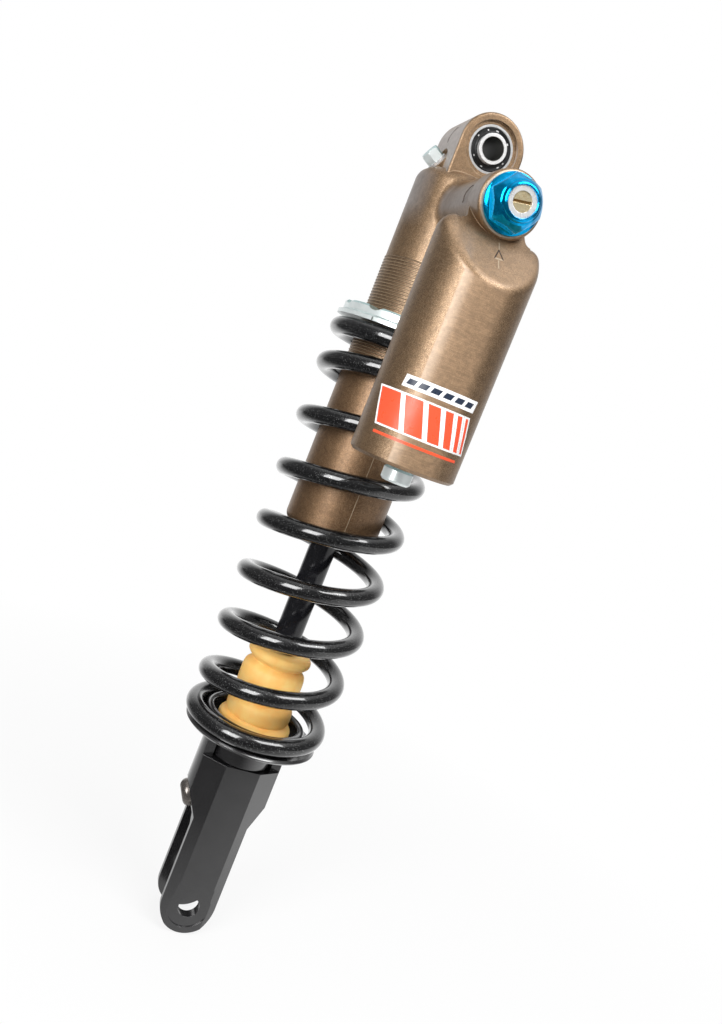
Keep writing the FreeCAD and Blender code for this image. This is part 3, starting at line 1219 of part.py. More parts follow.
def rebound_adjuster():
    """Domed screw with a coned inner end. Its own Z axis points out, from the slanted face."""
    screw = turned_body("rebound_screw", (
        ("0", "fit - tip_depth"), ("adjuster_tip_radius", "fit - tip_depth"),
        ("adjuster_shank_radius", "adjuster_cone_length - tip_depth"),
        ("adjuster_shank_radius", "running_fit"),
        ("adjuster_head_radius", "running_fit"), ("adjuster_head_radius", "adjuster_head_height"),
        ("0", "adjuster_head_height")))
    round_edges(screw, "adjuster_dome", "adjuster_dome_round",
                circle_at(value("adjuster_head_radius"), value("adjuster_head_height")))
    slot = solid("Box", "rebound_slot", None,
                 ("-adjuster_head_radius", "-adjuster_slot_width / 2", "adjuster_head_height * 0.5"),
                 Length="2 * adjuster_head_radius", Width="adjuster_slot_width",
                 Height="adjuster_head_height")
    return on_slant(cut("rebound_adjuster", screw, [slot]), "0")


node("rebound_adjuster", rebound_adjuster())


# Checks on the finished document, and the sub-parts' files


def check_document():
    doc.recompute()
    for item in doc.Objects:
        if "Invalid" in item.State or "Error" in item.State:
            raise RuntimeError(f"{item.Name} failed: {item.State}")
    for name, item in nodes.items():
        if item.Shape.isNull() or not item.Shape.isValid() or not item.Shape.Solids:
            raise RuntimeError(f"{name} has no valid solid")


def write_parts():
    os.makedirs("parts", exist_ok=True)
    for name, item in nodes.items():
        item.Shape.exportStep(f"parts/{name}.step")
        print(f"{name}: {len(item.Shape.Solids)} solid(s), {item.Shape.Volume / 1000:.2f} cm3")


check_document()
write_parts()
print(f"nodes: {len(nodes)}")
print(f"least gap between two turns of the spring: {spring_gap():.2f} mm")
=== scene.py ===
import json
import math

import bmesh
import bpy
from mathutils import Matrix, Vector


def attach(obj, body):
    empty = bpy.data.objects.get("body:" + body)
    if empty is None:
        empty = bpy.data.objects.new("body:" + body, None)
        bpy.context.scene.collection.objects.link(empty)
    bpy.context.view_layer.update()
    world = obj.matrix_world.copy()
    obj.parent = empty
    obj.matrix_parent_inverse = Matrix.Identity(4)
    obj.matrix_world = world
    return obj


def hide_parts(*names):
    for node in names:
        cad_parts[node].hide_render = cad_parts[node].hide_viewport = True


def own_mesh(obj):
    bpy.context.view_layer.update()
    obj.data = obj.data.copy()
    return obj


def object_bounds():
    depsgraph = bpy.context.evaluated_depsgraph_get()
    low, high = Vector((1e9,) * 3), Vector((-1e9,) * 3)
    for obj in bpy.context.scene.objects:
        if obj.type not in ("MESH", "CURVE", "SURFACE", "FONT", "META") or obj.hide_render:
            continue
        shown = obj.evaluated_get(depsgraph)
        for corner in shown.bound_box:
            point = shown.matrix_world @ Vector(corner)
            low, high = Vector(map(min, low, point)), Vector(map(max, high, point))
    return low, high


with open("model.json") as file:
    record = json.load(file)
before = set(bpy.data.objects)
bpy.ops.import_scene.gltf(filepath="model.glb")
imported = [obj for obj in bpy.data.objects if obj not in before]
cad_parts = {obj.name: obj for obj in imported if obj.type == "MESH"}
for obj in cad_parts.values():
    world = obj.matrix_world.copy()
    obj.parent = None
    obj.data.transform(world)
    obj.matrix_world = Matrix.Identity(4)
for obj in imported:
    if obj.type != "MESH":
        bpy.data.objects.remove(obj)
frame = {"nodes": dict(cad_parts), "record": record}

# Rear shock absorber of an off-road motorcycle, dressed for a studio picture.
# Lengths are in millimetres up to the stage, and MM turns them into metres. The stage is in metres.
# The eye's centre is the origin, Z is up along the damper and the reservoir lies towards -Y.

MM = 0.001
cad_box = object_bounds()

# Sizes that the dressed pieces share with the solids
RUNNING_FIT = 0.05
FIXED_FIT = 0.02
FREE_GAP = 0.3
TUBE_RADIUS = 24.2
TUBE_BOTTOM = -195.4
COLLAR_RADIUS = 6.95
BORE_RADIUS = 5.25
CUP_BORE_RADIUS = 10.05
SEAL_FACE = 15.6
SEAL_WIDTH = 4.0
EYE_RADIUS = 16.4
BOSS_RADIUS = 14.7
BOSS_HEIGHT = -32.0
BOSS_FACE = 69.6
SCREW_FACE = 80.7
RESERVOIR_RADIUS = 24.3
RESERVOIR_OFFSET = 63.8
SLOPE_LOW = (-88.1, -67.0)
SLOPE_TILT = 46.0
THREAD_PITCH = 1.5
THREAD_TOP = -61.0
THREAD_END = -118.4
COIL_RADIUS = 33.0
WIRE_RADIUS = 4.5
SPRING_TOP = -95.2
SPRING_LENGTH = 214.9
ACTIVE_TURNS = 7.35
UPPER_END_TURNS = 0.69
UPPER_RISE_TURNS = 1.3
LOWER_END_TURNS = 0.64
LOWER_RISE_TURNS = 0.5
TOTAL_TURNS = UPPER_END_TURNS + ACTIVE_TURNS + LOWER_END_TURNS
SPRING_TIP = 312.0
NUT_TOP = -87.78
ROD_RADIUS = 7.0
BUMP_BOTTOM = -309.1
BUMP_LENGTH = 43.5

# The blue hexagon, as distances out from the damper's axis and the direction of a corner in degrees
HEX_BACK = 71.8
HEX_CORNER_END = 75.3
HEX_FRONT = 80.0
HUB_FACE = 82.0
HEX_TURN = 52.0

# Thin marks and films
MARK_LIFT = 0.07
MARK_DEPTH = 0.2
FILM_LIFT = 0.06
FILM_DEPTH = 0.1
PRINT_LIFT = 0.11
PRINT_DEPTH = 0.05


# Meshes


def new_piece(name, material):
    """An empty mesh object in the scene, with its material."""
    mesh = bpy.data.meshes.new(name)
    piece = bpy.data.objects.new(name, mesh)
    bpy.context.scene.collection.objects.link(piece)
    mesh.materials.append(material)
    return piece


def settle(piece, body):
    """Makes a finished piece move with its body."""
    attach(piece, body)
    return piece


def fill(piece, vertices, faces, smooth=True):
    """Puts points, given in millimetres, and faces into a piece."""
    piece.data.from_pydata([[c * MM for c in v] for v in vertices], [], faces)
    piece.data.validate()
    for face in piece.data.polygons:
        face.use_smooth = smooth
    piece.data.update()
    return piece


def grid_faces(rows, columns, close=True):
    """Quads between rows of points. close joins each row's last point to its first."""
    faces = []
    for i in range(rows - 1):
        for j in range(columns if close else columns - 1):
            k = (j + 1) % columns
            faces.append((i * columns + j, i * columns + k, (i + 1) * columns + k, (i + 1) * columns + j))
    return faces


def lathe(piece, profile, steps=96, along_y=False):
    """Turns a closed profile of (radius, height) about Z, or about Y with height along -Y."""
    count = len(profile)
    vertices = []
    for i in range(steps):
        angle = 2 * math.pi * i / steps
        for radius, height in profile:
            a, b = radius * math.cos(angle), radius * math.sin(angle)
            vertices.append((a, -height, b) if along_y else (a, b, height))
    faces = []
    for i in range(steps):
        k = (i + 1) % steps
        for j in range(count):
            m = (j + 1) % count
            faces.append((i * count + j, i * count + m, k * count + m, k * count + j))
    fill(piece, vertices, faces)
    repair_normals(piece)
    return piece


def repair_normals(piece):
    """Turns every face of a closed piece outwards."""
    mesh = bmesh.new()
    mesh.from_mesh(piece.data)
    bmesh.ops.recalc_face_normals(mesh, faces=mesh.faces)
    mesh.to_mesh(piece.data)
    mesh.free()


def rounded(profile, sharp, cuts=4, reach=0.45):
    """A profile with each corner not listed in sharp replaced by a small curve."""
    result = []
    count = len(profile)
    for i, corner in enumerate(profile):
        if i in sharp:
            result.append(corner)
            continue
        before, after = Vector(profile[i - 1]), Vector(profile[(i + 1) % count])
        middle = Vector(corner)
        start = middle.lerp(before, reach)
        end = middle.lerp(after, reach)
        for step in range(cuts + 1):
            t = step / cuts
            result.append(tuple(start * (1 - t) ** 2 + middle * 2 * t * (1 - t) + end * t * t))
    return result


def sheets(name, material, grids, thickness):
    """Thin closed sheets in one piece. Each grid is rows of (point, way out of the surface)."""
    vertices, faces = [], []
    for grid in grids:
        first = len(vertices)
        rows, columns = len(grid), len(grid[0])
        cells = [cell for row in grid for cell in row]
        vertices += [Vector(point) for point, out in cells]
        vertices += [Vector(point) - Vector(out) * thickness for point, out in cells]
        under = rows * columns
        top = grid_faces(rows, columns, False)
        faces += [[first + i for i in face] for face in top]
        faces += [[first + under + i for i in face[::-1]] for face in top]
        rim = list(range(columns))
        rim += [i * columns + columns - 1 for i in range(1, rows)]
        rim += [(rows - 1) * columns + j for j in range(columns - 2, -1, -1)]
        rim += [i * columns for i in range(rows - 2, 0, -1)]
        for a, b in zip(rim, rim[1:] + rim[:1]):
            faces.append([first + a, first + under + a, first + under + b, first + b])
    piece = fill(new_piece(name, material), vertices, faces, smooth=False)
    repair_normals(piece)
    return settle(piece, "damper_body")


def stroke(points, outward, width):
    """A thin mark along points, on a surface whose way out is known at each point."""
    points = [Vector(point) for point in points]
    grid = []
    for i, point in enumerate(points):
        along = (points[min(i + 1, len(points) - 1)] - points[max(i - 1, 0)]).normalized()
        out = Vector(outward(point)).normalized()
        across = out.cross(along) * (width / 2)
        lifted = point + out * MARK_LIFT
        grid.append([(lifted - across, out), (lifted + across, out)])
    return grid


# Node materials


class Paint:
    """A principled material, and the nodes that drive it."""

    def __init__(self, name, color, **sockets):
        self.material = bpy.data.materials.new(name)
        self.material.use_nodes = True
        self.tree = self.material.node_tree
        self.shader = self.tree.nodes["Principled BSDF"]
        self.material.diffuse_color = (*color, 1)
        self.set("Base Color", (*color, 1))
        for socket, value in sockets.items():
            self.set(socket.replace("_", " "), value)

    def set(self, socket, value):
        self.connect(value, self.shader.inputs[socket])

    def connect(self, value, socket):
        if isinstance(value, bpy.types.NodeSocket):
            self.tree.links.new(value, socket)
        else:
            socket.default_value = value

    def node(self, kind, settings=None, **inputs):
        """Adds a node. Inputs are named with underscores for spaces, or by number as in0, in1."""
        node = self.tree.nodes.new("ShaderNode" + kind)
        for name, value in (settings or {}).items():
            setattr(node, name, value)
        for name, value in inputs.items():
            key = int(name[2:]) if name[:2] == "in" and name[2:].isdigit() else name.replace("_", " ")
            self.connect(value, node.inputs[key])
        return node

    def place(self):
        """The point on the object, in metres."""
        return self.node("TexCoord").outputs["Object"]

    def noise(self, scale, detail=2.0, rough=0.5):
        """Cloudy grey around 0.5, finer with a larger scale."""
        return self.node("TexNoise", Vector=self.place(), Scale=scale, Detail=detail,
                         Roughness=rough).outputs["Fac"]

    def ramp(self, factor, *stops):
        """Grey or coloured ramp: each stop is (position, value) with a number or an RGB triple."""
        node = self.node("ValToRGB", Fac=factor)
        points = node.color_ramp.elements
        while len(points) < len(stops):
            points.new(0.5)
        for point, (position, value) in zip(points, stops):
            point.position = position
            point.color = (*value, 1) if isinstance(value, tuple) else (value, value, value, 1)
        return node.outputs["Color"]

    def mix(self, factor, first, second, blend="MIX"):
        """First where factor is 0 and second where it is 1. Either is a colour or a socket."""
        first = (*first, 1) if isinstance(first, tuple) and len(first) == 3 else first
        second = (*second, 1) if isinstance(second, tuple) and len(second) == 3 else second
        node = self.node("MixRGB", {"blend_type": blend}, Fac=factor, Color1=first, Color2=second)
        return node.outputs["Color"]

    def math(self, operation, first, second=0.0):
        return self.node("Math", {"operation": operation}, in0=first, in1=second).outputs[0]

    def product(self, *masks):
        """Where all of these masks meet."""
        result = masks[0]
        for mask in masks[1:]:
            result = self.math("MULTIPLY", result, mask)
        return result

    def span(self, value, start, end):
        """0 at start, 1 at end, and straight between them."""
        return self.node("MapRange", Value=value, From_Min=start, From_Max=end).outputs[0]

    def reach(self, length, start, end):
        """As span, with start and end in millimetres."""
        return self.span(length, start * MM, end * MM)

    def parts(self):
        """The point on the object as its three coordinates, in metres."""
        return self.node("SeparateXYZ", Vector=self.place()).outputs

    def facing(self):
        """The surface's own direction as its three coordinates."""
        return self.node("SeparateXYZ", Vector=self.node("NewGeometry").outputs["Normal"]).outputs

    def distance(self, first, second):
        """Length of the arrow with these two coordinates."""
        squares = [self.math("POWER", part, 2.0) for part in (first, second)]
        return self.math("POWER", self.math("ADD", *squares), 0.5)

    def bump(self, height, depth, strength=1.0, normal=None):
        """Makes the surface rise by depth, in millimetres, where height is 1."""
        node = self.node("Bump", Height=height, Distance=depth * MM, Strength=strength)
        if normal is not None:
            self.connect(normal, node.inputs["Normal"])
        self.set("Normal", node.outputs["Normal"])

    def soft_edges(self, radius):
        """Edges rounded by a radius in millimetres. Returns the normal and a mask of the edges."""
        bevel = self.node("Bevel", {"samples": 4}, Radius=radius * MM).outputs["Normal"]
        flat = self.node("NewGeometry").outputs["Normal"]
        same = self.node("VectorMath", {"operation": "DOT_PRODUCT"}, in0=bevel, in1=flat).outputs["Value"]
        self.set("Normal", bevel)
        return bevel, self.ramp(same, (0.86, 1.0), (0.995, 0.0))


def rubbed_front(paint, parts, facing):
    """Mask of the reservoir's front below its slope, where it was rubbed down."""
    return paint.product(
        paint.span(facing["Y"], -0.5, -0.6), paint.reach(parts["Y"], -66.0, -70.0),
        paint.span(facing["Z"], 0.25, 0.1), paint.reach(parts["Z"], -58.0, -62.0),
        paint.span(facing["X"], -0.57, -0.55), paint.span(facing["X"], 0.42, 0.2))


def rubbing_lines(paint):
    """Mask of fine wavy lines, nearly level."""
    waves = paint.node("TexNoise", Vector=paint.place(), Scale=90.0, Detail=1.0).outputs["Color"]
    bent = paint.node("VectorMath", {"operation": "MULTIPLY_ADD"}, in0=waves,
                      in1=(0.0, 0.0, 3.5 * MM), in2=paint.place()).outputs[0]
    drawn_out = paint.node("Mapping", Vector=bent, Scale=(0.07, 0.07, 1.0)).outputs[0]
    lines = paint.node("TexNoise", Vector=drawn_out, Scale=1900.0, Detail=3.0).outputs["Fac"]
    return paint.ramp(lines, (0.44, 0.0), (0.6, 1.0))


def cast_bronze():
    """Bronze coat over a sand-blasted casting, rubbed down in front, with painted light: a grey painted
    reflection on its left flanks, a lighter upward slope and painted highlights on the head's edges and on
    a strip of the rubbed patch.
    """
    paint = Paint("cast_bronze", (0.31, 0.20, 0.115), Metallic=0.8, Roughness=0.42, Coat_Weight=0.4)
    paint.set("Coat Roughness", 0.33)
    parts = paint.parts()
    facing = paint.facing()
    out_of_tube = paint.distance(parts["X"], parts["Y"])
    out_of_eye = paint.distance(parts["X"], parts["Z"])
    normal, edges = paint.soft_edges(0.5)

    grain = paint.noise(3300, 2.0, 0.6)
    blotches = paint.ramp(paint.noise(55, 5.0, 0.6), (0.3, 0.8), (0.7, 1.0))
    mottle = paint.ramp(paint.noise(430, 3.0, 0.6), (0.35, 0.78), (0.65, 1.0))
    tube_below_nut = paint.product(paint.reach(parts["Z"], -90.0, -105.0),
                                   paint.reach(out_of_tube, 25.0, 24.5))
    rubbed = rubbed_front(paint, parts, facing)
    lines = paint.product(rubbed, rubbing_lines(paint))
    # Painted highlight: a light strip on the left-facing part of the rubbed patch.
    rubbed_highlight_strip = paint.product(rubbed, paint.span(facing["X"], -0.36, -0.53))
    # Painted light: the upward-facing slope gets a lighter tone.
    slope = paint.product(paint.span(facing["Z"], 0.3, 0.55), paint.reach(parts["Z"], -46.0, -50.0),
                          paint.reach(parts["Y"], -60.0, -64.0))
    head = paint.reach(parts["Z"], -47.0, -35.0)
    # Painted reflection: the left-facing surfaces of the head are turned grey, lighter towards the top.
    flank_reflection = paint.product(paint.span(facing["X"], -0.75, -0.97), head)
    flank_reflection_tone = paint.mix(paint.reach(parts["Z"], -20.0, -10.0), (0.27, 0.24, 0.225), (0.44, 0.40, 0.38))
    boss_face = paint.product(paint.span(facing["Y"], -0.9, -0.99), paint.reach(parts["Y"], -69.0, -69.4),
                              paint.reach(parts["Z"], -48.0, -46.5))
    off_the_seal = paint.math("MAXIMUM", paint.reach(out_of_eye, 12.5, 13.5),
                              paint.reach(parts["Z"], -14.0, -16.0))
    # Painted highlight: the head's edges are lightened along the bevel mask.
    head_edge_highlight = paint.product(edges, head, off_the_seal)

    tone = paint.ramp(grain, (0.34, (0.175, 0.104, 0.053)), (0.5, (0.29, 0.18, 0.096)),
                      (0.67, (0.50, 0.35, 0.215)))
    tone = paint.mix(1.0, tone, blotches, "MULTIPLY")
    tone = paint.mix(tube_below_nut, tone, (0.95, 0.87, 0.8), "MULTIPLY")
    for mask, share, over in (
            (rubbed, 0.65, (0.37, 0.235, 0.133)), (lines, 0.3, (0.17, 0.105, 0.06)),
            (rubbed_highlight_strip, 0.3, (0.76, 0.60, 0.45)), (slope, 0.35, (0.34, 0.215, 0.12)),
            (flank_reflection, 0.9, flank_reflection_tone), (boss_face, 1.0, (0.66, 0.55, 0.42)),
            (head_edge_highlight, 0.7, (0.70, 0.57, 0.43))):
        tone = paint.mix(paint.product(mask, share), tone, over)
    paint.set("Base Color", paint.mix(1.0, tone, mottle, "MULTIPLY"))

    matt = paint.math("MAXIMUM", rubbed, paint.math("MAXIMUM", slope, flank_reflection))
    paint.set("Metallic", paint.math("SUBTRACT", 0.8, paint.product(matt, 0.45)))
    grain_roughness = paint.ramp(grain, (0.35, 0.52), (0.65, 0.42))
    paint.set("Roughness", paint.mix(matt, grain_roughness, (0.52, 0.52, 0.52)))
    height = paint.math("ADD", grain, paint.noise(1500, 2.0))
    paint.bump(paint.math("SUBTRACT", height, paint.product(lines, 0.7)), 0.04, 0.45, normal)
    return paint.material


def metal(name, color, rough, grain_scale=600, grain=0.06, edge=0.25, metallic=1.0):
    """Machined or plated metal with faint uneven sheen, and edges painted lighter, partly as wear and
    partly as a painted highlight.
    """
    paint = Paint(name, color, Metallic=metallic, Roughness=rough)
    spots = paint.noise(grain_scale, 3.0)
    normal, edges = paint.soft_edges(edge)
    lighter = tuple(min(1.0, c * 1.35 + 0.02) for c in color)
    darker = tuple(c * 0.8 for c in color)
    tone = paint.ramp(spots, (0.3, darker), (0.55, color), (0.8, lighter))
    # Edges painted lighter, partly as wear and partly as a painted highlight.
    paint.set("Base Color", paint.mix(paint.math("MULTIPLY", edges, 0.45), tone, lighter))
    paint.set("Roughness", paint.ramp(spots, (0.3, rough + grain), (0.7, max(0.05, rough - grain))))
    paint.bump(spots, 0.02, 0.5, normal)
    return paint.material


def satin_black():
    """Smooth black anodised aluminium, a little lighter on its edges, partly as wear and partly as a
    painted highlight.
    """
    paint = Paint("satin_black_aluminium", (0.010, 0.0096, 0.0104), Roughness=0.22, Coat_Weight=1.0)
    paint.set("Coat Roughness", 0.12)
    paint.set("Specular IOR Level", 1.0)
    cloud = paint.noise(120, 3.0)
    edges = paint.soft_edges(0.3)[1]
    tone = paint.ramp(cloud, (0.3, (0.008, 0.0077, 0.0084)), (0.7, (0.012, 0.0116, 0.0124)))
    # Edges painted lighter, partly as wear and partly as a painted highlight.
    paint.set("Base Color", paint.mix(paint.math("MULTIPLY", edges, 0.5), tone, (0.09, 0.088, 0.09)))
    paint.set("Roughness", paint.ramp(cloud, (0.3, 0.25), (0.7, 0.2)))
    return paint.material


def bored_steel():
    """Bright turned steel, with painted shade inside the bolt's bore."""
    paint = Paint("bright_steel", (0.9, 0.9, 0.88), Metallic=0.55, Roughness=0.25)
    parts = paint.parts()
    out = paint.distance(parts["X"], parts["Z"])
    bright = paint.reach(out, BORE_RADIUS + 0.1, BORE_RADIUS + 0.5)
    spots = paint.ramp(paint.noise(500, 3.0), (0.3, 0.82), (0.7, 0.94))
    # Painted shade: the inside of the bore is made nearly black.
    paint.set("Base Color", paint.mix(bright, (0.05, 0.05, 0.045), spots))
    paint.set("Roughness", paint.ramp(bright, (0.0, 0.5), (1.0, 0.25)))
    paint.soft_edges(0.25)
    return paint.material


def zinc_plate():
    """Bright zinc, with painted teal shade where it curves into a notch."""
    paint = Paint("zinc_plate", (0.84, 0.89, 0.885), Metallic=0.5, Roughness=0.32)
    facing = paint.facing()
    notch_shade = paint.product(paint.span(facing["Z"], 0.97, 0.85), paint.span(facing["Z"], 0.15, 0.4))
    spots = paint.noise(180, 2.0)
    tone = paint.ramp(spots, (0.3, (0.70, 0.76, 0.755)), (0.7, (0.80, 0.85, 0.845)))
    # Painted shade: teal where the surface curves into a notch.
    paint.set("Base Color", paint.mix(notch_shade, tone, (0.40, 0.54, 0.54)))
    paint.set("Roughness", paint.ramp(spots, (0.3, 0.36), (0.7, 0.28)))
    paint.soft_edges(0.12)
    return paint.material


def slotted_brass():
    """Bright brass, with painted shade in the screw's slot."""
    paint = Paint("brass", (0.92, 0.76, 0.46), Metallic=0.85, Roughness=0.25)
    turned = paint.ramp(paint.noise(500, 3.0), (0.3, (0.80, 0.64, 0.36)), (0.7, (0.98, 0.86, 0.58)))
    slot = paint.reach(paint.parts()["Y"], 0.2 - SCREW_FACE, 0.5 - SCREW_FACE)
    # Painted shade: dark brown in the slot, behind the screw's face.
    paint.set("Base Color", paint.mix(slot, turned, (0.45, 0.30, 0.13)))
    paint.set("Roughness", paint.ramp(slot, (0.0, 0.25), (1.0, 0.6)))
    paint.soft_edges(0.2)
    return paint.material


def spring_paint():
    """Glossy black paint with metal flakes."""
    paint = Paint("spring_paint", (0.004, 0.004, 0.0045), Roughness=0.2, Coat_Weight=1.0)
    paint.set("Coat Roughness", 0.07)
    paint.set("Specular IOR Level", 0.45)
    flakes = paint.node("TexVoronoi", Vector=paint.place(), Scale=1700).outputs["Distance"]
    sparse = paint.ramp(paint.noise(1100, 1.0), (0.46, 0.0), (0.6, 1.0))
    dots = paint.math("MULTIPLY", paint.ramp(flakes, (0.12, 1.0), (0.3, 0.0)), sparse)
    paint.set("Base Color", paint.mix(dots, (0.004, 0.004, 0.0045), (0.34, 0.345, 0.34)))
    paint.set("Metallic", paint.math("MULTIPLY", dots, 0.8))
    paint.bump(paint.noise(900, 2.0), 0.03, 0.35)
    return paint.material


def bump_foam():
    """Orange-yellow cellular urethane, into which light sinks a little."""
    paint = Paint("bump_foam", (0.95, 0.52, 0.14), Roughness=0.6, Subsurface_Weight=0.2)
    paint.set("Subsurface Scale", 4 * MM)
    paint.set("Subsurface Radius", (1.0, 0.5, 0.2))
    cloud = paint.noise(150, 4.0)
    paint.set("Base Color", paint.ramp(cloud, (0.3, (1.0, 0.54, 0.14)), (0.7, (1.0, 0.66, 0.225))))
    paint.bump(paint.noise(1900, 3.0), 0.05, 0.6)
    return paint.material


def rubber(name="black_rubber", color=(0.004, 0.004, 0.0045), level=0.3):
    """Moulded rubber or plastic. level is how much light its surface throws back."""
    paint = Paint(name, color, Roughness=0.4)
    paint.set("Specular IOR Level", level)
    cloud = paint.noise(800, 3.0)
    paint.set("Base Color", paint.ramp(cloud, (0.3, color), (0.8, tuple(c * 2.0 for c in color))))
    paint.set("Roughness", paint.ramp(cloud, (0.3, 0.33), (0.7, 0.48)))
    paint.bump(cloud, 0.03, 0.5)
    return paint.material


def thread_bronze():
    """Bronze on the crests of the thread, with painted shade in its roots."""
    paint = Paint("thread_bronze", (0.25, 0.17, 0.10), Metallic=0.6, Roughness=0.4)
    parts = paint.parts()
    out = paint.distance(parts["X"], parts["Y"])
    height = paint.reach(out, TUBE_RADIUS + 0.02, TUBE_RADIUS + 0.3)
    crest = paint.ramp(paint.noise(1500, 3.0), (0.3, (0.24, 0.155, 0.09)), (0.7, (0.46, 0.33, 0.21)))
    # Painted shade: nearly black in the roots of the thread.
    paint.set("Base Color", paint.mix(height, (0.010, 0.006, 0.004), crest))
    paint.set("Roughness", paint.ramp(height, (0.0, 0.7), (1.0, 0.33)))
    return paint.material


def film(name, color):
    """Glossy printed film, with a faint unevenness."""
    paint = Paint(name, color, Roughness=0.3)
    cloud = paint.noise(400, 2.0)
    paint.set("Base Color", paint.ramp(cloud, (0.3, tuple(c * 0.94 for c in color)), (0.7, color)))
    paint.set("Roughness", paint.ramp(cloud, (0.3, 0.34), (0.7, 0.26)))
    return paint.material


CASTING = cast_bronze()
THREAD = thread_bronze()
SPRING = spring_paint()
FOAM = bump_foam()
RUBBER = rubber()
ZINC = zinc_plate()
BEARING = metal("bearing_steel", (0.60, 0.60, 0.60), 0.34, 500, edge=0.05, metallic=0.8)
COLLAR = bored_steel()
SILVER = metal("turned_aluminium", (0.88, 0.88, 0.88), 0.24, 500, metallic=0.6)
BLUE = metal("blue_anodised", (0.0, 0.36, 0.74), 0.15, 500, 0.03, metallic=0.93)
BLUE_FLAT = metal("blue_milled_flat", (0.0, 0.50, 1.0), 0.3, 500, 0.05, metallic=0.35)
BRASS = slotted_brass()
SATIN_BLACK = satin_black()
ROD = metal("dark_rod", (0.010, 0.010, 0.012), 0.12, 300, 0.03, metallic=0.0)
DARK_STEEL = metal("dark_steel", (0.05, 0.05, 0.052), 0.38, 500)
PLASTIC = rubber("piston_plastic", (0.05, 0.045, 0.04), 0.5)
ADJUSTER = metal("dulled_steel", (0.20, 0.18, 0.165), 0.25, 500, metallic=0.8)
LIGHT_DASH = rubber("light_grey_dash", (0.42, 0.42, 0.42), 0.5)
# Painted shade and painted highlight for the cast marks: dark strips for shade, light strips for highlight.
CAST_DARK = rubber("cast_shadow", (0.045, 0.03, 0.022), 0.3)
CAST_LIGHT = metal("cast_ridge_highlight", (0.50, 0.38, 0.26), 0.35, 900, edge=0.05, metallic=0.4)
WHITE_FILM = film("white_film", (0.86, 0.86, 0.86))
RED_FILM = film("red_film", (0.80, 0.09, 0.035))
NAVY_FILM = film("navy_film", (0.02, 0.03, 0.055))

MATERIAL_OF = {
    "casting": CASTING, "bearing_steel": BEARING, "bright_steel": COLLAR, "zinc_steel": ZINC,
    "aluminium": SILVER, "blue_aluminium": BLUE, "clevis_aluminium": SATIN_BLACK, "brass": BRASS,
    "black_rubber": RUBBER, "bump_foam": FOAM, "piston_plastic": PLASTIC, "black_paint": SATIN_BLACK,
    "spring_paint": SPRING, "rod_steel": ROD, "dark_steel": DARK_STEEL,
}
slot_of = {part["node"]: part["material_slot"] for part in frame["record"]["subparts"]}
for node_name, item in frame["nodes"].items():
    item.data.materials.clear()
    finish = ADJUSTER if node_name == "rebound_adjuster" else MATERIAL_OF[slot_of[node_name]]
    item.data.materials.append(finish)


# Spring


def taken_up(past, rise):
    """Turns' worth of full pitch taken up, this many turns past the middle of an end's rise."""
    if past <= -rise / 2:
        return 0.0
    if past >= rise / 2:
        return past
    return (past + rise / 2) ** 2 / (2 * rise)


def spring_height(turns):
    """Height of the wire's centre after this many turns down from the upper tip."""
    pitch = (SPRING_LENGTH - 2 * WIRE_RADIUS) / ACTIVE_TURNS
    if turns <= TOTAL_TURNS / 2:
        drop = taken_up(turns - UPPER_END_TURNS, UPPER_RISE_TURNS)
    else:
        drop = ACTIVE_TURNS - taken_up(TOTAL_TURNS - turns - LOWER_END_TURNS, LOWER_RISE_TURNS)
    return SPRING_TOP - WIRE_RADIUS - pitch * drop


def spring_point(turns):
    """The wire's centre after this many turns down from the upper tip."""
    angle = math.radians(SPRING_TIP) - 2 * math.pi * turns
    return Vector((COIL_RADIUS * math.cos(angle), COIL_RADIUS * math.sin(angle), spring_height(turns)))


def make_spring():
    """The coils as one smooth tube, with a small bevel round each cut end."""
    sides = 28
    rings = 620
    bevel = 0.6
    vertices = []
    stations = [(0.0, WIRE_RADIUS - bevel)]
    edge = bevel / (2 * math.pi * COIL_RADIUS)
    stations += [(edge + (TOTAL_TURNS - 2 * edge) * i / rings, WIRE_RADIUS) for i in range(rings + 1)]
    stations.append((TOTAL_TURNS, WIRE_RADIUS - bevel))
    for turns, radius in stations:
        centre = spring_point(turns)
        along = (spring_point(turns + 1e-3) - spring_point(turns - 1e-3)).normalized()
        outward = Vector((centre.x, centre.y, 0)).normalized()
        outward = (outward - along * outward.dot(along)).normalized()
        upward = outward.cross(along)
        for j in range(sides):
            angle = 2 * math.pi * j / sides
            spoke = outward * math.cos(angle) + upward * math.sin(angle)
            vertices.append(centre + spoke * radius)
    faces = grid_faces(len(stations), sides)
    last = (len(stations) - 1) * sides
    faces.append(tuple(range(sides)))
    faces.append(tuple(range(last, last + sides))[::-1])
    piece = fill(new_piece("painted_spring", SPRING), vertices, faces)
    repair_normals(piece)
    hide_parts("coil_spring")
    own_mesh(piece)
    return settle(piece, "damper_body")


make_spring()


# Preload thread on the damper tube


def thread_band(name, low, high):
    """A right-handed thread that stands proud of the tube between two heights."""
    columns = 120
    rows_per_turn = 10
    root_depth = 0.06
    ridge_height = 0.36
    run_out = 0.5
    rows = int((high - low) / THREAD_PITCH * rows_per_turn)
    vertices = []
    for i in range(rows + 1):
        height = low + (high - low) * i / rows
        ends = min(1.0, (high - height) / run_out, (height - low) / run_out)
        for j in range(columns):
            phase = (height / THREAD_PITCH - j / columns) % 1.0
            crest = min(1.0, max(0.0, 1.7 - abs(phase - 0.5) * 5.2))
            radius = TUBE_RADIUS - root_depth + ridge_height * crest * ends
            angle = 2 * math.pi * j / columns
            vertices.append((radius * math.cos(angle), radius * math.sin(angle), height))
    piece = fill(new_piece(name, THREAD), vertices, grid_faces(rows + 1, columns))
    repair_normals(piece)
    return settle(piece, "damper_body")


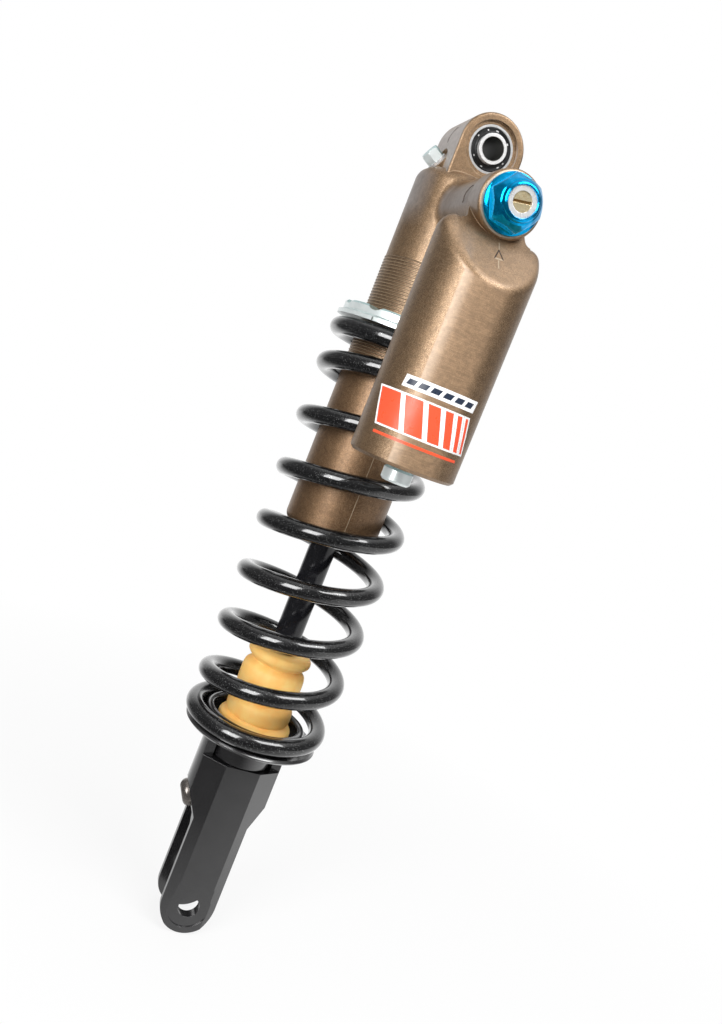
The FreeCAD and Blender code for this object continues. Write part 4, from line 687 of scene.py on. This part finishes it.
thread_band("thread_above_nut", NUT_TOP + 0.1, THREAD_TOP)
thread_band("thread_below_nut", THREAD_END, SPRING_TOP + 0.1)


# Bump stop


def groove_round(height, below, above):
    """Profile of a groove round the foam at a height, between rings of two radii."""
    floor, soft = 13.3, 1.8
    return [
        (below, height - 3.4), (below - soft, height - 1.6), (floor, height - 0.3),
        (floor, height + 0.3), (above - soft, height + 1.6), (above, height + 3.4)]


def make_bump_stop():
    """Ribbed foam with soft edges: a foot, a lower ring and two upper ones with grooves between."""
    foot, low, upper = 19.7, 17.4, 16.8
    bottom, top = BUMP_BOTTOM, BUMP_BOTTOM + BUMP_LENGTH
    profile = [
        (ROD_RADIUS + FREE_GAP, bottom), (foot - 0.9, bottom), (foot, bottom + 0.9), (foot, bottom + 3.3),
        (foot - 1.8, bottom + 5.1), (low - 1.4, bottom + 5.6), (low, bottom + 6.9)]
    profile += groove_round(bottom + 16.7, low, upper)
    profile += groove_round(bottom + 35.9, upper, upper)
    profile += [(upper, top - 1.8), (upper - 1.8, top), (ROD_RADIUS + FREE_GAP, top)]
    piece = new_piece("foam_bump_stop", FOAM)
    lathe(piece, rounded(profile, {0, len(profile) - 1}), 112)
    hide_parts("bump_stop")
    return settle(piece, "rod_assembly")


make_bump_stop()


# Dust seals of the eye


def make_seals():
    """A ring with a raised inner lip on each side of the eye, and light grey dashes on the front one."""
    inner, outer = COLLAR_RADIUS + RUNNING_FIT, CUP_BORE_RADIUS - FIXED_FIT
    recess = 0.35
    for name, side in (("front_dust_seal", 1), ("back_dust_seal", -1)):
        face = SEAL_FACE * side
        back = face - SEAL_WIDTH * side
        profile = [
            (inner, back), (outer, back), (outer, face - 0.2 * side), (outer - 0.3, face),
            (outer - 0.8, face), (outer - 1.1, face - recess * side), (inner + 0.9, face - recess * side),
            (inner + 0.55, face + 0.1 * side), (inner + 0.1, face + 0.1 * side), (inner, face - 0.3 * side)]
        piece = new_piece(name, RUBBER)
        lathe(piece, profile, 96, along_y=True)
        if side == 1:
            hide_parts("eye_seals")
        settle(piece, "damper_body")
    radius = (COLLAR_RADIUS + CUP_BORE_RADIUS) / 2 + recess
    height = recess - SEAL_FACE
    # Light grey dashes laid on the front seal's face.
    degrees = ((91, 9), (158, 5), (39, 6), (-22, 5), (-42, 7), (-99, 6), (122, 4), (-140, 5))
    dashes = []
    for middle, length in degrees:
        turns = [math.radians(middle + length * (i / 3 - 0.5)) for i in range(4)]
        line = [(radius * math.cos(turn), height, radius * math.sin(turn)) for turn in turns]
        dashes.append(stroke(line, lambda point: (0, -1, 0), 0.75))
    sheets("seal_light_dashes", LIGHT_DASH, dashes, MARK_DEPTH)


make_seals()


# Blue adjuster


def hexagon_reach(angle, round_reach):
    """How far the hexagon reaches at an angle, never past round_reach, with softened corners."""
    flat, softness = 10.7, 7
    turn = (angle - math.radians(HEX_TURN)) % (math.pi / 3) - math.pi / 6
    side = flat / math.cos(turn)
    return -math.log(math.exp(-softness * side) + math.exp(-softness * round_reach)) / softness


def adjuster_stations():
    """(distance out, radius, whether it is milled) from the flange's bore round to the hub's."""
    turned, flange, hub, bore = 12.35, 13.0, 8.4, 6.55
    hub_round = 1.6
    back = BOSS_FACE + RUNNING_FIT
    cone_foot = hub + 0.6
    stations = [
        (back, bore, False), (back, flange - 0.2, False), (back + 0.3, flange, False),
        (HEX_BACK - 0.3, flange, False), (HEX_BACK, flange - 0.3, False), (HEX_BACK + 0.05, turned, True)]
    stations += [(HEX_BACK + (HEX_CORNER_END - HEX_BACK) * i / 4, turned, True) for i in range(1, 5)]
    cone = HEX_FRONT - HEX_CORNER_END
    stations += [(HEX_CORNER_END + cone * i / 10, turned + (cone_foot - turned) * i / 10, True)
                 for i in range(1, 11)]
    stations += [(HEX_FRONT + 0.05, hub, False), (HUB_FACE - hub_round, hub, False)]
    for degrees in range(15, 91, 15):
        turn = math.radians(degrees)
        stations.append((HUB_FACE - hub_round + hub_round * math.sin(turn),
                         hub - hub_round + hub_round * math.cos(turn), False))
    return stations + [(HUB_FACE, bore + 0.4, False), (HUB_FACE - 0.4, bore, False)]


def make_adjuster():
    """A hexagon milled from a turned cone, with a flange behind it and a rounded hub in front."""
    steps = 144
    stations = adjuster_stations()
    vertices = []
    for out, radius, milled in stations:
        for j in range(steps):
            angle = 2 * math.pi * j / steps
            reach = hexagon_reach(angle, radius) if milled else radius
            vertices.append((reach * math.cos(angle), -out, BOSS_HEIGHT + reach * math.sin(angle)))
    faces = grid_faces(len(stations), steps)
    last = (len(stations) - 1) * steps
    faces += [(last + j, last + (j + 1) % steps, (j + 1) % steps, j) for j in range(steps)]
    piece = fill(new_piece("milled_adjuster", BLUE), vertices, faces)
    repair_normals(piece)
    piece.data.materials.append(BLUE_FLAT)
    for face in piece.data.polygons:
        along_axis = math.hypot(face.normal.x, face.normal.z) > 0.999
        if along_axis and HEX_BACK < -face.center.y / MM < HEX_FRONT:
            face.material_index = 1
    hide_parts("high_speed_adjuster")
    return settle(piece, "high_speed_knob")


make_adjuster()


# Marks that the mould left on the casting


def on_slope(across, y):
    """A point of the reservoir's sloping front."""
    return (across, y, SLOPE_LOW[1] + (y - SLOPE_LOW[0]) * math.tan(math.radians(SLOPE_TILT)))


def slope_out(point):
    """The way out of that sloping front, the same at every point."""
    return (0, -math.sin(math.radians(SLOPE_TILT)), math.cos(math.radians(SLOPE_TILT)))


def make_cast_marks():
    """Curved mould marks on two flanks, an arrowhead and parting lines, drawn as dark strips of painted
    shade and light strips of painted highlight.
    """
    eye_curve = ((-3.9, 5.4), (-2.6, 5.6), (-0.9, 4.2), (0.9, 2.0), (1.6, 0.2), (0.9, -1.4), (0.4, -2.9))
    eye_line = [(-EYE_RADIUS * math.cos(z / EYE_RADIUS), y, z) for y, z in eye_curve]
    boss_curve = ((-56.0, -28.6), (-54.6, -28.4), (-53.0, -29.6), (-51.4, -31.4), (-50.8, -33.0),
                  (-51.2, -34.2), (-50.6, -35.6))
    boss_line = [(-math.sqrt(BOSS_RADIUS ** 2 - (z - BOSS_HEIGHT) ** 2), y, z) for y, z in boss_curve]
    # Mould marks on the flanks, drawn as dark strips of painted shade.
    sheets("flank_marks", CAST_DARK, [
        stroke(eye_line, lambda point: (point.x, 0, point.z), 0.7),
        stroke(boss_line, lambda point: (point.x, 0, point.z - BOSS_HEIGHT), 0.8)], MARK_DEPTH)
    tip, left, right = on_slope(1.2, -73.4), on_slope(-0.9, -77.6), on_slope(3.3, -77.0)
    # The arrowhead: dark strokes of painted shade and a light foot of painted highlight.
    sheets("arrow_mark", CAST_DARK, [
        stroke((tip, left), slope_out, 0.6), stroke((tip, right), slope_out, 0.6)], MARK_DEPTH)
    sheets("arrow_foot", CAST_LIGHT, [stroke((left, right), slope_out, 1.0)], MARK_DEPTH)
    tube_heights = (THREAD_END - 1.1, -160.0, TUBE_BOTTOM)
    # Parting lines drawn as light strips of painted highlight.
    sheets("parting_lines", CAST_LIGHT, [
        stroke([on_slope(1.3, y) for y in (-70.0, -73.0)], slope_out, 0.45),
        stroke([on_slope(1.1, y) for y in (-77.8, -81.4)], slope_out, 0.45),
        stroke([(0, -TUBE_RADIUS, z) for z in tube_heights], lambda point: (0, -1, 0), 0.3)], MARK_DEPTH)


make_cast_marks()


# Printed film on the reservoir: plain bars and dashes


def wrapped(corners, lift, steps):
    """A four-cornered patch on the reservoir. A corner is degrees left of the front, and a height."""
    a, b, c, d = (Vector(corner) for corner in corners)
    grid = []
    for i in range(steps + 1):
        row = []
        for j in range(3):
            spot = a.lerp(b, i / steps).lerp(d.lerp(c, i / steps), j / 2)
            turn = math.radians(spot.x)
            out = (-math.sin(turn), -math.cos(turn), 0)
            radius = RESERVOIR_RADIUS + lift
            row.append(((radius * out[0], -RESERVOIR_OFFSET + radius * out[1], spot.y), out))
        grid.append(row)
    return grid


def bar(left, width, low, high, lean, grow=0.0):
    """Corners of a leaning bar, from its lower left one on, made larger by grow millimetres.

    left, width and lean are degrees round the reservoir, low and high are heights.
    """
    degrees_per_mm = 3.2
    side = grow * degrees_per_mm
    shift = lean * grow / (high - low)
    return ((left + side + shift, low - grow), (left - width - side + shift, low - grow),
            (left - width - side - lean - shift, high + grow), (left + side - lean - shift, high + grow))


def make_film():
    """A dashed strip, with leaning stripes that thin out below it and a line at the foot."""
    strip = wrapped(bar(50, 84, -118.6, -113.4, 1.6), FILM_LIFT, 30)
    sheets("film_strip", WHITE_FILM, [strip], FILM_DEPTH)
    dashes = [wrapped(bar(46 - 13 * i, 9, -117.2, -114.8, 2.4), PRINT_LIFT, 4) for i in range(6)]
    sheets("film_dashes", NAVY_FILM, dashes, PRINT_DEPTH)
    low, high, lean, border, gap = -136.4, -121.6, -12.0, 0.8, 5.5
    left = 62.0
    edges, stripes = [], []
    for width in (27, 19, 13, 9, 6, 4):
        edges.append(wrapped(bar(left, width, low, high, lean, border), FILM_LIFT, 12))
        stripes.append(wrapped(bar(left, width, low, high, lean), PRINT_LIFT, 12))
        left -= width + gap
    sheets("film_stripes_edge", WHITE_FILM, edges, FILM_DEPTH)
    sheets("film_stripes", RED_FILM, stripes, PRINT_DEPTH)
    foot_line = wrapped(bar(62, 100, -140.8, -139.6, 0.0), FILM_LIFT, 30)
    sheets("film_foot_line", RED_FILM, [foot_line], FILM_DEPTH)


make_film()


# Stage: floor, backdrop, lamps and camera


def floor_paint():
    """Pale floor that looks white away from the object. Shiny surfaces see it darker in front."""
    paint = Paint("floor", (0.72, 0.72, 0.72), Roughness=0.9)
    path = paint.node("LightPath").outputs
    parts = paint.parts()
    away = paint.node("VectorMath", {"operation": "LENGTH"}, in0=paint.place()).outputs["Value"]
    glow_share = paint.node("MapRange", Value=away, From_Min=0.43, From_Max=0.62,
                            To_Min=0.84, To_Max=1.0).outputs[0]
    slant = paint.math("ADD", paint.product(parts["X"], 2.8), paint.product(parts["Y"], 1.79))
    behind = paint.node("MapRange", Value=slant, From_Min=-0.5, From_Max=0.35,
                        To_Min=0.1, To_Max=1.0).outputs[0]
    direct = paint.math("MAXIMUM", path["Is Camera Ray"], path["Is Transmission Ray"])
    seen = paint.product(direct, glow_share)
    glow = paint.node("Emission", Color=(1, 1, 1, 1)).outputs[0]
    mirrored = paint.node("Emission", Color=(1, 1, 1, 1), Strength=behind).outputs[0]
    surface = paint.node("MixShader", in0=seen, in1=paint.shader.outputs[0], in2=glow).outputs[0]
    surface = paint.node("MixShader", in0=path["Is Glossy Ray"], in1=surface, in2=mirrored).outputs[0]
    paint.connect(surface, paint.tree.nodes["Material Output"].inputs["Surface"])
    return paint.material


def make_floor():
    """White floor that keeps a faint shadow near the object and has no visible end."""
    mesh = bpy.data.meshes.new("floor")
    floor = bpy.data.objects.new("floor", mesh)
    bpy.context.scene.collection.objects.link(floor)
    size = 3.0
    height = cad_box[0][2] - 0.6 * MM
    corners = [(x, y, height) for x, y in ((-size, -size), (size, -size), (size, size), (-size, size))]
    mesh.from_pydata(corners, [], [(0, 1, 2, 3)])
    mesh.materials.append(floor_paint())


def make_world():
    """White studio, with a darker room in front of the object."""
    world = bpy.data.worlds.new("studio")
    bpy.context.scene.world = world
    world.use_nodes = True
    nodes = world.node_tree.nodes
    links = world.node_tree.links
    back = nodes["Background"]
    back.inputs["Color"].default_value = (1, 1, 1, 1)
    direction = nodes.new("ShaderNodeTexCoord").outputs["Generated"]

    def grade(toward, start, end, low, high):
        """Brightness that rises toward one side of the room."""
        along = nodes.new("ShaderNodeVectorMath")
        along.operation = "DOT_PRODUCT"
        along.inputs[1].default_value = toward
        links.new(direction, along.inputs[0])
        node = nodes.new("ShaderNodeMapRange")
        for name, amount in (("From Min", start), ("From Max", end), ("To Min", low), ("To Max", high)):
            node.inputs[name].default_value = amount
        links.new(along.outputs["Value"], node.inputs["Value"])
        return node.outputs[0]

    path = nodes.new("ShaderNodeLightPath")
    strength = grade((0.3, 1.0, 0.0), 0.5, 0.9, 0.18, 0.95)
    for other in (grade((0.0, 0.0, 1.0), 0.5, 0.95, 0.0, 1.0), path.outputs["Is Camera Ray"],
                  path.outputs["Is Transmission Ray"]):
        larger = nodes.new("ShaderNodeMath")
        larger.operation = "MAXIMUM"
        links.new(strength, larger.inputs[0])
        links.new(other, larger.inputs[1])
        strength = larger.outputs[0]
    links.new(strength, back.inputs["Strength"])


def lamp(name, place, aim, width, height, watts):
    """A rectangular soft light at a place, turned to a point."""
    data = bpy.data.lights.new(name, "AREA")
    data.shape = "RECTANGLE"
    data.size, data.size_y = width, height
    data.energy = watts
    item = bpy.data.objects.new(name, data)
    item.location = place
    item.rotation_euler = (Vector(aim) - Vector(place)).to_track_quat("-Z", "Y").to_euler()
    bpy.context.scene.collection.objects.link(item)


def make_camera():
    """The photograph's view, turned so that the shock leans as it does there."""
    data = bpy.data.cameras.new("photo_camera")
    data.lens = 32.30
    data.sensor_width = 36.0
    data.clip_start = 0.01
    camera = bpy.data.objects.new("photo_camera", data)
    camera.location = (-0.1360, -0.4440, -0.12822)
    camera.rotation_euler = [math.radians(angle) for angle in (82.6809, -21.6339, -15.7309)]
    bpy.context.scene.collection.objects.link(camera)
    bpy.context.scene.camera = camera


make_floor()
make_world()
lamp("left_softbox", (-0.78, -0.80, 0.15), (0, -0.03, -0.2), 0.52, 0.75, 12.5)
lamp("top_softbox", (0.29, -0.63, 0.64), (0, -0.03, -0.22), 0.7, 0.46, 9.0)
make_camera()
bpy.context.scene.view_settings.view_transform = "Standard"
